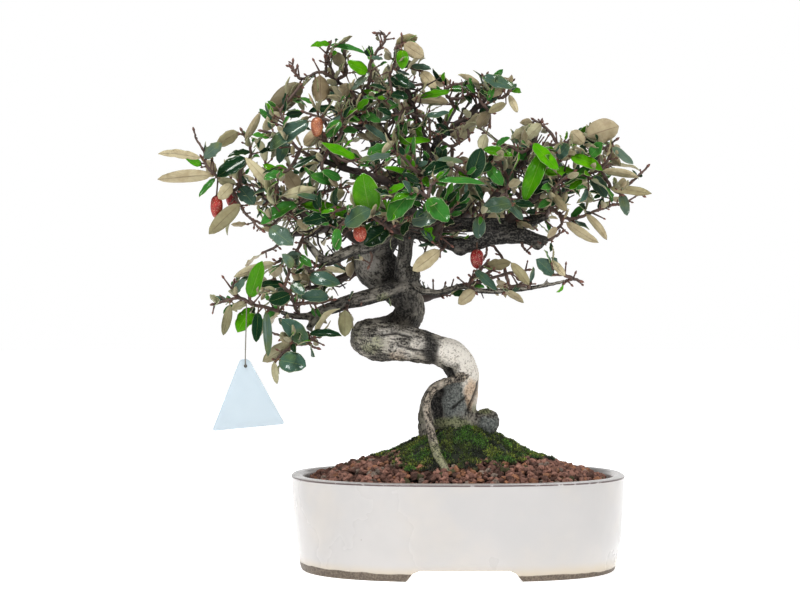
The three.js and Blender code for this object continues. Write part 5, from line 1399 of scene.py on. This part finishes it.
def knob(shape, middle, radius, rings=9, sides=16):
    """A round swelling."""
    turns = np.pi * (np.arange(rings) + 0.5) / rings
    line = [middle + UP * -radius * math.cos(t) for t in turns]
    shape.tube(line, [radius * math.sin(t) for t in turns], sides)


def canopy_piece():
    """The thin boughs inside the canopy, darkened as painted shade, with their spurs, buds and young
    leaves.
    """
    shape = Shape()
    for number, name in enumerate(sorted(THIN_LIMBS)):
        line, radii = limb_line(name, 6)
        draw = dice(811 + number * 19)
        rough = [radius * (1 + 0.3 * (draw() - 0.5)) for radius in radii]
        jitter = np.array([scatter(draw) for _ in line]) * 0.9
        # Painted shade: the boughs inside the canopy are tinted far darker than the twigs
        shape.tube(line + jitter, rough, 10, (0.4, 0.41, 0.42))
        spurs(shape, Stem(WOOD[name]), 1301 + number * 53, 2.8, 0.8, 12, 15)
        tangle(shape, Stem(WOOD[name]), 1709 + number * 43)
    for number, name in enumerate(("crown", "right", "right_upper", "upper_left", "low_left")):
        spurs(shape, Stem(WOOD[name]), 2903 + number * 41, 9.0, 0.25, 8, 9)
    for number, rows in enumerate(FINE_TWIGS):
        stem = Stem(rows)
        twig_tube(shape, stem, 1.0, 0.65, 3301 + number * 29, 0.3)
        if number not in BARE_FINE_TWIGS:
            spurs(shape, stem, 3907 + number * 61, 5.0, 0.35, 4, 8)
    return shape.piece("canopy_boughs", leafy_materials(), "bark")


# Pot, soil and moss

POT_HEIGHT = 59.1
POT_HALF_LENGTH = 105
POT_HALF_WIDTH = 80
POT_FOOT_HALF_LENGTH = 99
POT_WALL = 8
POT_FLOOR_TOP = 14
FOOT_HEIGHT = 6.5
FOOT_WIDTH = 13
FOOT_GAP = 70
OVAL_POWER = 2.5
DRAIN_RADIUS = 8
DRAIN_OFFSET = 46
SOIL_EDGE = 54.5
SOIL_DOME = 20
SOIL_HALF_LENGTH = POT_HALF_LENGTH - POT_WALL - 1.2
MOSS_RADIUS = 44
MOSS_HEIGHT = 19
GRANULE_STEP = 3.6
TUFTS = 900


def off_middle(reach, angle):
    """The place at a distance from the pot's middle."""
    return reach * math.cos(angle), reach * math.sin(angle)


def oval_half_width(a):
    """The oval's half width where its half length is a. It is rounder near the middle."""
    less = POT_HALF_LENGTH - POT_HALF_WIDTH
    return a - less if a >= 60 else a * (60 - less) / 60


def oval_reach(a, angle):
    """How far out the oval with half length a lies at an angle."""
    across = abs(math.cos(angle)) / a
    deep = abs(math.sin(angle)) / oval_half_width(a)
    return (across**OVAL_POWER + deep**OVAL_POWER) ** (-1 / OVAL_POWER)


def rounded(profile, steps=5):
    """The profile with each corner [a, z, radius] turned into an arc."""
    points = []
    for i, (a, z, radius) in enumerate(profile):
        here = np.array([a, z], float)
        if not radius or i in (0, len(profile) - 1):
            points.append(here)
            continue
        before = np.array(profile[i - 1][:2], float) - here
        after = np.array(profile[i + 1][:2], float) - here
        points += arc(here + before / np.linalg.norm(before) * radius, here,
                      here + after / np.linalg.norm(after) * radius, steps)
    return points


def pot_profile():
    """The wall's outline from under the floor, round the foot and the rim, to the floor's top."""
    foot, rim, top = POT_FOOT_HALF_LENGTH, POT_HALF_LENGTH, POT_HEIGHT
    inner = rim - POT_WALL
    return rounded([
        (0.5, FOOT_HEIGHT, 0), (foot - FOOT_WIDTH, FOOT_HEIGHT, 2), (foot - FOOT_WIDTH + 0.6, 0, 0.8),
        (foot - 0.6, 0, 0.9), (foot, 1.4, 0.6), ((foot + rim) / 2 + 1.2 - 0.9, top * 0.3, 5),
        (rim - 0.9, top * 0.7, 5), (rim - 0.5, top - 3.2, 0.3), (rim - 0.5, top - 1.9, 0.2),
        (rim - 0.35, top - 1.5, 0.2), (rim - 0.1, top - 0.9, 0.3), (rim - 0.9, top - 0.35, 0.5),
        (inner + 1.2, top - 0.02, 1.2), (inner, top - 2, 1), (inner - 0.8, top * 0.75, 3),
        (inner - 5, POT_FLOOR_TOP + 2, 4), (inner - 8, POT_FLOOR_TOP, 1.4), (0.5, POT_FLOOR_TOP, 0),
    ])


def block(name, outline, depth, middle_x):
    """A straight cutter from an outline [x, z], through the pot from front to back."""
    count = len(outline)
    points = [(x + middle_x, y, z) for y in (-depth, depth) for x, z in outline]
    faces = [(count + i, count + (i + 1) % count, (i + 1) % count, i) for i in range(count)]
    faces += [tuple(range(count)), tuple(reversed(range(count, 2 * count)))]
    mesh = bpy.data.meshes.new(name)
    mesh.from_pydata(((np.array(points, float) + POT_MIDDLE) / 1000).tolist(), [], faces)
    return linked(name, mesh)


def pot_piece():
    """The glazed oval bowl on two feet, with its drain holes."""
    profile = pot_profile()
    shape = Shape()

    def place(ring, angle):
        a, z = profile[ring]
        reach = oval_reach(max(a, 0.5), angle)
        uneven = 0.16 * noise.noise(Vector((2 * math.cos(angle), 2 * math.sin(angle), z / 26)))
        reach += uneven if a > 20 and z > 4 else 0
        return *off_middle(reach, angle), z

    shape.turned(len(profile), 200, place)
    piece = shape.piece("glazed_pot", [glaze_finish()], "glazed_stoneware", ["pot"])
    half = FOOT_GAP / 2
    arch = [(-half - 1, -1), (half + 1, -1), (half - 1.2, 1.4), (half - 4, 5),
            (half - 8, FOOT_HEIGHT + 0.4), (8 - half, FOOT_HEIGHT + 0.4), (4 - half, 5),
            (1.2 - half, 1.4)]
    cutters = [block("arch", arch, 110, 2)]
    for x in (-DRAIN_OFFSET, DRAIN_OFFSET):
        bpy.ops.mesh.primitive_cylinder_add(
            vertices=48, radius=DRAIN_RADIUS / 1000, depth=0.03,
            location=((x + POT_MIDDLE[0]) / 1000, POT_MIDDLE[1] / 1000, 0.01))
        cutters.append(bpy.context.object)
    cut = {"operation": "DIFFERENCE", "solver": "EXACT"}
    mesh = changed(piece, *[("BOOLEAN", {"object": cutter, **cut}) for cutter in cutters])
    for cutter in cutters:
        bpy.data.objects.remove(cutter)
    mesh.set_sharp_from_angle(angle=math.radians(38))
    points = vectors(mesh.vertices, "co") * 1000 - POT_MIDDLE
    reach = np.array([math.hypot(x, y) / oval_reach(POT_HALF_LENGTH, math.atan2(y, x))
                      for x, y, _ in points])
    lip = fade(abs(points[:, 2] - POT_HEIGHT + 1.15), 0.25, 0.65) * (reach > 0.975)
    paint(mesh, "lip", lip)
    return piece


def net_pieces():
    """The plastic nets over the drain holes keep their CAD shape."""
    material = net_finish()
    for name in ("drain_net_left", "drain_net_right"):
        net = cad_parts[name]
        net.data.materials.clear()
        net.data.materials.append(material)


def dome_height(x, y):
    angle = math.atan2(y, x)
    fraction = min(1, math.hypot(x, y) / oval_reach(POT_HALF_LENGTH - POT_WALL - 2, angle))
    return SOIL_EDGE + SOIL_DOME * (1 - fraction**2)


def moss_reach(angle):
    waves = 1 + 0.09 * math.sin(3 * angle + 1) + 0.06 * math.sin(5 * angle)
    return MOSS_RADIUS * waves * (1 - 0.14 * math.sin(angle) ** 2)


def mound(fraction, angle):
    """Height of the moss over the soil, from its middle at 0 to its edge at 1."""
    return 1 + MOSS_HEIGHT * (1 - fraction ** (1.05 + 0.25 * min(0, math.cos(angle))))


def moss_height(x, y):
    """Top of the moss over the soil, or None beyond it."""
    angle = math.atan2(y, x)
    fraction = math.hypot(x, y) / moss_reach(angle)
    return mound(fraction, angle) + 1 if fraction < 1 else None


def granule(shape, sphere, middle, radius, tint, draw):
    """A rough grain of baked clay."""
    points, faces = sphere
    seed = Vector((50 * draw(), 50 * draw(), 50 * draw()))
    stretch = np.array([0.8 + 0.45 * draw(), 0.8 + 0.45 * draw(), 0.75 + 0.4 * draw()])
    turn = Vector(scatter(draw)).to_track_quat("Z", "Y").to_matrix()
    lumps = [1 + 0.6 * noise.noise(Vector(p) * 1.2 + seed) + 0.3 * noise.noise(Vector(p) * 3 + seed)
             for p in points]
    grown = points * np.array(lumps)[:, None] * stretch @ np.array(turn).T
    shape.add(middle + grown * radius, faces, tint)


def round_mesh(detail):
    """The points and faces of a ball of radius 1."""
    maker = bmesh.new()
    bmesh.ops.create_icosphere(maker, subdivisions=detail, radius=1)
    points = np.array([v.co for v in maker.verts])
    faces = [tuple(v.index for v in face.verts) for face in maker.faces]
    maker.free()
    return points, faces


def soil_piece():
    """Coarse clay granules heaped over a core whose dark is painted shade between the granules."""
    ground = settings("ground")
    shape = Shape()
    rings = 40
    foot = POT_HALF_LENGTH - POT_WALL - 9.5

    def place(ring, turn):
        angle = -turn
        if ring > rings:
            a, z = [(foot + 3.5, 27), (foot, 15.8), (0.5, 15.8)][ring - rings - 1]
            return *off_middle(oval_reach(max(a, 0.5), angle), angle), z
        reach = oval_reach(SOIL_HALF_LENGTH - 0.8, angle) * max(ring, 0.02) / rings
        x, y = off_middle(reach, angle)
        return x, y, dome_height(x, y) - 3.4 - (2 if ring == rings else 0)

    # Painted shade: the core is a much darker copy of the granule colour, seen in the gaps between
    # granules
    shape.turned(rings + 4, 120, place, np.array(ground.granule) * 0.14)
    sphere = round_mesh(2)
    draw = dice(2027)
    for row in range(-25, 26):
        for column in range(-29, 30):
            x = GRANULE_STEP * (column + 0.5 * (row % 2)) + (draw() - 0.5) * 2.6
            y = GRANULE_STEP * 0.87 * row + (draw() - 0.5) * 2.6
            size, hue, drop = draw(), draw(), draw()
            angle, distance = math.atan2(y, x), math.hypot(x, y)
            mossy = moss_reach(angle) * (1 + 0.3 * noise.noise(Vector((x, y, 0)) / 9)) - 3
            if distance > oval_reach(SOIL_HALF_LENGTH - 2.2, angle) or distance < mossy:
                continue
            radius = ground.granule_size * (0.72 + 0.55 * size)
            tint = np.array(ground.granule) * (0.35 + 1.35 * draw())
            if hue > 0.9:
                tint = np.array(linear(172, 126, 98)) * (0.7 + 0.5 * draw())
            elif hue > 0.84:
                tint = np.array(linear(158, 142, 130)) * (0.7 + 0.4 * draw())
            elif hue < 0.05:
                tint = np.array(linear(92, 90, 62))
            middle = np.array([x, y, dome_height(x, y) - 2.2 + 2.4 * drop])
            granule(shape, sphere, middle, radius, tint, draw)
    material = tinted_finish("clay_granules", 0.62, 1.6, 0.45, Roughness=0.9)
    return shape.piece("soil_granules", [material], "soil_granules", ["soil"], smooth=False)


def moss_piece():
    """A mossy mound of tufts, each a burst of fine sprigs."""
    ground = settings("ground")
    shape = Shape()
    rings = 46

    def place(ring, turn):
        angle = -turn
        under = ring > rings
        level = (2 * rings + 1 - ring if under else ring) / rings
        x, y = off_middle(moss_reach(angle) * max(level, 0.01), angle)
        if under:
            return x, y, dome_height(x, y) - 2
        spot = Vector((x, y, 0))
        rough = (2.4 * noise.noise(spot / 7) + 1.3 * noise.noise(spot / 2.6)) * (1 - 0.6 * level)
        return x, y, dome_height(x, y) + (mound(level, angle) + rough) - 0.6

    shape.turned(2 * rings + 2, 150, place, np.array(ground.moss) * 0.3)
    draw = dice(4447)
    for _ in range(TUFTS):
        turn, out = 2 * math.pi * draw(), math.sqrt(draw()) * 1.3
        if out > 1 and draw() < (out - 1) * 2.4:
            continue
        x, y = off_middle(moss_reach(turn) * out, turn)
        patch = noise.noise(Vector((x / 13, y / 13, 3)))
        bright = draw() ** 2
        fresh = np.array(linear(138, 150, 62)) * bright + np.array(ground.moss) * (1 - bright)
        if patch > 0.18:
            fresh = np.array(linear(82, 122, 42)) * (0.6 + 0.6 * draw())
        if patch < -0.3:
            fresh = np.array(linear(46, 58, 34)) * (0.6 + 0.6 * draw())
        tuft(shape, x, y, 1.4 + 2.2 * draw(), fresh, ground.sprigs // TUFTS, draw)
    material = tinted_finish("moss_sprigs", 0.55, 0.9, 0.2, Roughness=0.8, Sheen_Weight=0.3)
    return shape.piece("moss_mound", [material], "moss", ["moss"], smooth=False)


def tuft(shape, x, y, spread, tint, count, draw):
    """A burst of sprigs round one spot of the mound."""
    for _ in range(count):
        turn, out = 2 * math.pi * draw(), math.sqrt(draw())
        px, py = x + spread * out * math.cos(turn), y + spread * out * math.sin(turn)
        cover = moss_height(px, py)
        z = dome_height(px, py) + (cover - 1.2 if cover is not None else 1.1)
        root = np.array([px, py, z + 0.9 * (1 - out)])
        lean = np.array([math.cos(turn) * out, math.sin(turn) * out, 0.5 + 0.9 * draw()])
        away = np.array([px, py, 0]) / (math.hypot(px, py) + 1) * 0.7
        way = unit(lean + away + 1.6 * scatter(draw))
        length = 1.0 + 1.2 * draw()
        side = unit(np.cross(way, [draw() - 0.5, draw() - 0.5, 0.2]))
        other = np.cross(way, side)
        width = 0.3 + 0.22 * draw()
        shade = 0.3 + 1.9 * draw() ** 2.5
        points = [root + side * width, root - side * width * 0.5 + other * width * 0.8,
                  root - side * width * 0.5 - other * width * 0.8, root + way * length]
        shape.add(points, [(2, 1, 0), (0, 1, 3), (1, 2, 3), (2, 0, 3)],
                  [tint * 0.55 * shade] * 3 + [tint * 2.6 * shade])


# Fruits, tag and thread

# [u, v, depth] of the middle, height and width in pixels, colour, and where each hangs from
FRUITS = [
    [[216.5, 207, -25], 22, 12, linear(176, 60, 54), [218, 178, -25]],
    [[232, 199, -15], 16, 12, linear(156, 30, 42), [234, 183, -19]],
    [[317, 127, -31], 19, 12, linear(178, 116, 82), [318, 115, -22]],
    [[360, 234, -60], 15, 13, linear(170, 72, 52), [353, 216, -56]],
    [[477, 259, -19], 19, 13, linear(166, 48, 50), [477, 243, -15]],
]
TAG_CORNERS = [[240, 359], [249, 359], [285, 424], [212, 431]]
TAG_DEPTH = -36
TAG_THICKNESS = 0.8
TAG_CORNER_REACH = 2.2
TAG_HOLE = [245.5, 366]
TAG_HOLE_RADIUS = 1.05
THREAD_RADIUS = 0.35
THREAD_BEND = 1.7
THREAD_TOP = [246.5, 304.5, -31]
KNOT_RADIUS = 1.3


def fruit_piece(number):
    """A hanging oblong fruit with its stalk and the dry cup at the stalk's end."""
    place, height, width, colour, hangs = FRUITS[number]
    shape = Shape()
    middle = seen(place)
    half, girth = height * PIXEL / 2, width * PIXEL / 2
    steps, sides = 22, 24
    line, rings = [], []
    turns = 2 * np.pi * np.arange(sides) / sides
    for i in range(steps + 1):
        t = math.pi * i / steps
        z = -half * math.cos(t)
        line.append(middle + UP * z)
        lumps = noises([(2 * math.cos(a), 2 * math.sin(a), z / 3) for a in turns], 1.5, number)
        narrow = 1 - 0.1 * math.cos(t)
        rings.append(girth * max(math.sin(t), 0.04) ** 0.8 * narrow * (1 + 0.05 * lumps))
    shape.tube(line, rings, sides, colour, 1)
    top, tail = middle + UP * (half - 0.6), middle - UP * (half - 0.3)
    held = seen(hangs)
    bend = (top + held) / 2 + UP * 0.8 - TO_VIEWER * 0.4
    shape.tube([top, bend * 0.5 + top * 0.5, bend, held], [0.55, 0.5, 0.48, 0.6], 8, (1.2, 1.1, 0.9))
    shape.tube([top - UP * 0.2, top + UP * 0.5, top + UP * 1.1], [1.5, 1.2, 0.5], 10)
    shape.tube([tail, tail - UP * 0.7, tail - UP * 1.2], [0.7, 0.45, 0.2], 8)
    name = "fruit_%d" % (number + 1)
    return shape.piece("ripe_" + name, [twig_finish(), fruit_finish()], "fruit_skin", [name])


def tag_piece():
    """A bare plate with rounded corners and an eye for the thread."""
    corners = [seen([u, v, TAG_DEPTH]) for u, v in TAG_CORNERS]
    outline = []
    for i, corner in enumerate(corners):
        before, after = corners[i - 1], corners[(i + 1) % len(corners)]
        outline += arc(corner + unit(before - corner) * TAG_CORNER_REACH, corner,
                       corner + unit(after - corner) * TAG_CORNER_REACH, 6)
    hole = seen([*TAG_HOLE, TAG_DEPTH])
    eye = [hole + TAG_HOLE_RADIUS * np.array([math.cos(a), 0, math.sin(a)])
           for a in np.linspace(0, 2 * math.pi, 25)[:-1]]
    maker = bmesh.new()
    loops = []
    for loop in (outline, eye):
        verts = [maker.verts.new(to_row([p])[0]) for p in loop]
        loops += [maker.edges.new((a, b)) for a, b in zip(verts, verts[1:] + verts[:1])]
    bmesh.ops.triangle_fill(maker, edges=loops, use_beauty=True)
    flat = bpy.data.meshes.new("label_plate")
    maker.to_mesh(flat)
    maker.free()
    piece = linked("label_plate", flat)
    changed(piece, ("SOLIDIFY", {"thickness": TAG_THICKNESS / 1000, "offset": 0}),
            ("BEVEL", {"width": 0.00014, "segments": 2, "limit_method": "ANGLE", "angle_limit": 0.9}))
    piece.data.materials.append(tag_finish())
    piece.data.shade_smooth()
    piece.data.set_sharp_from_angle(angle=math.radians(50))
    return settle(piece, ["label_tag"])


def thread_line():
    """Where the thread runs: from its twig down, and back through the tag's eye."""
    hole = seen([*TAG_HOLE, TAG_DEPTH])
    top = seen(THREAD_TOP)
    front = TAG_DEPTH - THREAD_BEND
    line = []
    for s in np.linspace(0, 1, 28):
        sway = s * s * (3 - 2 * s)
        line.append((top[0] + (hole[0] - top[0]) * sway, top[1] + (front - top[1]) * sway,
                     top[2] + (hole[2] + THREAD_BEND - top[2]) * s))
    for i in range(1, 9):
        turn = i * math.pi / 16
        line.append((hole[0], TAG_DEPTH - THREAD_BEND * math.cos(turn),
                     hole[2] + THREAD_BEND * (1 - math.sin(turn))))
    line += [(hole[0], TAG_DEPTH + 1, hole[2]), (hole[0], TAG_DEPTH + 2, hole[2])]
    return np.array(line)


def thread_pieces():
    """The thread that the tag hangs on, its end knotted behind the tag."""
    line = to_row(thread_line())
    curve = bpy.data.curves.new("hanging_thread", "CURVE")
    curve.dimensions = "3D"
    curve.bevel_depth = THREAD_RADIUS / 1000
    curve.bevel_resolution = 3
    curve.use_fill_caps = True
    spline = curve.splines.new("POLY")
    spline.points.add(len(line) - 1)
    for point, place in zip(spline.points, line):
        point.co = (*place, 1)
    curve.materials.append(thread_finish())
    thread = settle(linked("hanging_thread", curve), ["tag_thread"])
    shape = Shape()
    knob(shape, thread_line()[-1] - TO_VIEWER * 0.4, KNOT_RADIUS, 9, 14)
    knot = shape.piece("thread_knot", [thread_finish()], "thread")
    tag = tag_piece()


# Stage

def camera_piece():
    """The camera stands level with the upper trunk, as far off as the photograph was taken."""
    lens = bpy.data.cameras.new("camera")
    lens.sensor_fit = "HORIZONTAL"
    lens.sensor_width = 36
    lens.lens = 36 / (2 * (PICTURE_MIDDLE[0] * PIXEL / EYE_RANGE))
    lens.clip_start = 0.05
    lens.clip_end = 30
    camera = linked("camera", lens)
    camera.location = ((POT_MIDDLE[0] - POT_ASIDE) / 1000, (POT_MIDDLE[1] - EYE_RANGE) / 1000,
                       EYE_HEIGHT / 1000)
    camera.rotation_euler = (math.pi / 2, 0, 0)
    bpy.context.scene.camera = camera


def lamp(name, place, aim, size, power):
    data = bpy.data.lights.new(name, "AREA")
    data.shape = "DISK"
    data.size = size
    data.energy = power
    made = linked(name, data)
    made.location = place
    made.rotation_euler = (aim - place).to_track_quat("-Z", "Y").to_euler()


def stage_pieces():
    """A plain pale floor that runs out of sight, a bright room and soft lamps."""
    stage = settings("stage")
    middle = Vector(POT_MIDDLE) / 1000
    bpy.ops.mesh.primitive_circle_add(
        vertices=96, radius=6, fill_type="NGON", location=(middle.x, middle.y, 0))
    floor = bpy.context.object
    floor.name = "floor"
    paper = Finish("paper", None, Base_Color=(stage.floor,) * 3, Roughness=0.85,
                   Specular_IOR_Level=0.2, Emission_Color=(1, 1, 1), Emission_Strength=stage.glow)
    floor.data.materials.append(paper.material)
    world = bpy.data.worlds.new("studio")
    world.use_nodes = True
    tree = world.node_tree
    way = tree.nodes.new("ShaderNodeTexCoord")
    parts = tree.nodes.new("ShaderNodeSeparateXYZ")
    fade_up = tree.nodes.new("ShaderNodeMapRange")
    fade_up.interpolation_type = "SMOOTHSTEP"
    ends = {"From Min": 0.16, "From Max": 0.3, "To Min": stage.horizon, "To Max": stage.sky}
    for socket, value in ends.items():
        fade_up.inputs[socket].default_value = value
    room = tree.nodes["Background"].inputs
    tree.links.new(way.outputs["Generated"], parts.inputs[0])
    tree.links.new(parts.outputs["Z"], fade_up.inputs["Value"])
    tree.links.new(fade_up.outputs[0], room["Strength"])
    room["Color"].default_value = (1, 1, 1, 1)
    bpy.context.scene.world = world
    aim = middle + Vector((0, 0, 0.16))
    lamp("key", middle + Vector((-0.38, -0.5, 1.3)), aim, 0.34, stage.key)
    lamp("fill", middle + Vector((0.8, -1.0, 0.65)), aim, 0.5, stage.key * 0.3)
    lamp("rim", middle + Vector((0.3, 0.75, 1.2)), aim, 0.5, stage.key * 0.4)
    view = bpy.context.scene.view_settings
    view.view_transform = "Standard"
    view.look = "None"
    view.gamma = 0.86


# Commands

@functools.lru_cache(maxsize=None)
def leafy_materials():
    return twig_finish(), blade_finish("leaf_upper", True), blade_finish("leaf_under", False)


class BONSAI_OT_stage(bpy.types.Operator):
    """Add the camera, the floor and the lights"""

    bl_idname = "bonsai.stage"
    bl_label = "Stage"

    def execute(self, context):
        camera_piece()
        stage_pieces()
        return {"FINISHED"}


class BONSAI_OT_thread(bpy.types.Operator):
    """Add the thread and the bare tag that hangs on it"""

    bl_idname = "bonsai.thread"
    bl_label = "Thread and Tag"

    def execute(self, context):
        thread_pieces()
        return {"FINISHED"}


class BONSAI_OT_pot(bpy.types.Operator):
    """Add the glazed pot and finish the nets over its drain holes"""

    bl_idname = "bonsai.pot"
    bl_label = "Pot"

    def execute(self, context):
        pot_piece()
        net_pieces()
        return {"FINISHED"}


class BONSAI_OT_soil(bpy.types.Operator):
    """Add the heap of soil granules"""

    bl_idname = "bonsai.soil"
    bl_label = "Soil"

    def execute(self, context):
        soil_piece()
        return {"FINISHED"}


class BONSAI_OT_moss(bpy.types.Operator):
    """Add the mossy mound"""

    bl_idname = "bonsai.moss"
    bl_label = "Moss"

    def execute(self, context):
        moss_piece()
        return {"FINISHED"}


class BONSAI_OT_wood(bpy.types.Operator):
    """Add the trunk and the thin boughs inside the canopy"""

    bl_idname = "bonsai.wood"
    bl_label = "Wood"

    def execute(self, context):
        trunk_piece()
        canopy_piece()
        return {"FINISHED"}


class BONSAI_OT_leaves(bpy.types.Operator):
    """Add the leafy shoots of both sides"""

    bl_idname = "bonsai.leaves"
    bl_label = "Leaves"

    def execute(self, context):
        shoots = {**FRONT_SPRAYS, **BACK_SPRAYS}
        shoots = {name: stems_of(twigs) for name, twigs in shoots.items()}
        front = {name: shoots[name] for name in FRONT_SPRAYS}
        owned = {name: [] for name in shoots}
        for number, row in enumerate(SEEN_LEAVES):
            name, point = nearest_twig(front, row)
            owned[name].append((number, row, point))
        for number, (name, stems) in enumerate(shoots.items()):
            spray_piece(number, name, stems, name in front, owned[name])
        return {"FINISHED"}


class BONSAI_OT_fruits(bpy.types.Operator):
    """Add the five fruits"""

    bl_idname = "bonsai.fruits"
    bl_label = "Fruits"

    def execute(self, context):
        for number in range(len(FRUITS)):
            fruit_piece(number)
        return {"FINISHED"}


COMMANDS = (BONSAI_OT_stage, BONSAI_OT_thread, BONSAI_OT_pot, BONSAI_OT_soil, BONSAI_OT_moss,
            BONSAI_OT_wood, BONSAI_OT_leaves, BONSAI_OT_fruits)


class BONSAI_PT_panel(bpy.types.Panel):
    """The sidebar panel with the bonsai's settings and commands"""

    bl_idname = "BONSAI_PT_panel"
    bl_label = "Thorny Olive Bonsai"
    bl_space_type = "VIEW_3D"
    bl_region_type = "UI"
    bl_category = "Bonsai"

    def draw(self, context):
        for command in COMMANDS:
            self.layout.operator(command.bl_idname)
        for group, kind in SETTINGS.items():
            box = self.layout.box()
            box.label(text=group.capitalize())
            for name in kind.__annotations__:
                box.prop(settings(group), name)


CLASSES = (*SETTINGS.values(), *COMMANDS, BONSAI_PT_panel)


def register():
    for kind in CLASSES:
        bpy.utils.register_class(kind)
    for group, kind in SETTINGS.items():
        setattr(bpy.types.Scene, "bonsai_" + group, bpy.props.PointerProperty(type=kind))


def unregister():
    for group in SETTINGS:
        delattr(bpy.types.Scene, "bonsai_" + group)
    for kind in reversed(CLASSES):
        bpy.utils.unregister_class(kind)


def main():
    register()
    for command in COMMANDS:
        space, name = command.bl_idname.split(".")
        getattr(getattr(bpy.ops, space), name)()


if __name__ == "__main__":
    main()
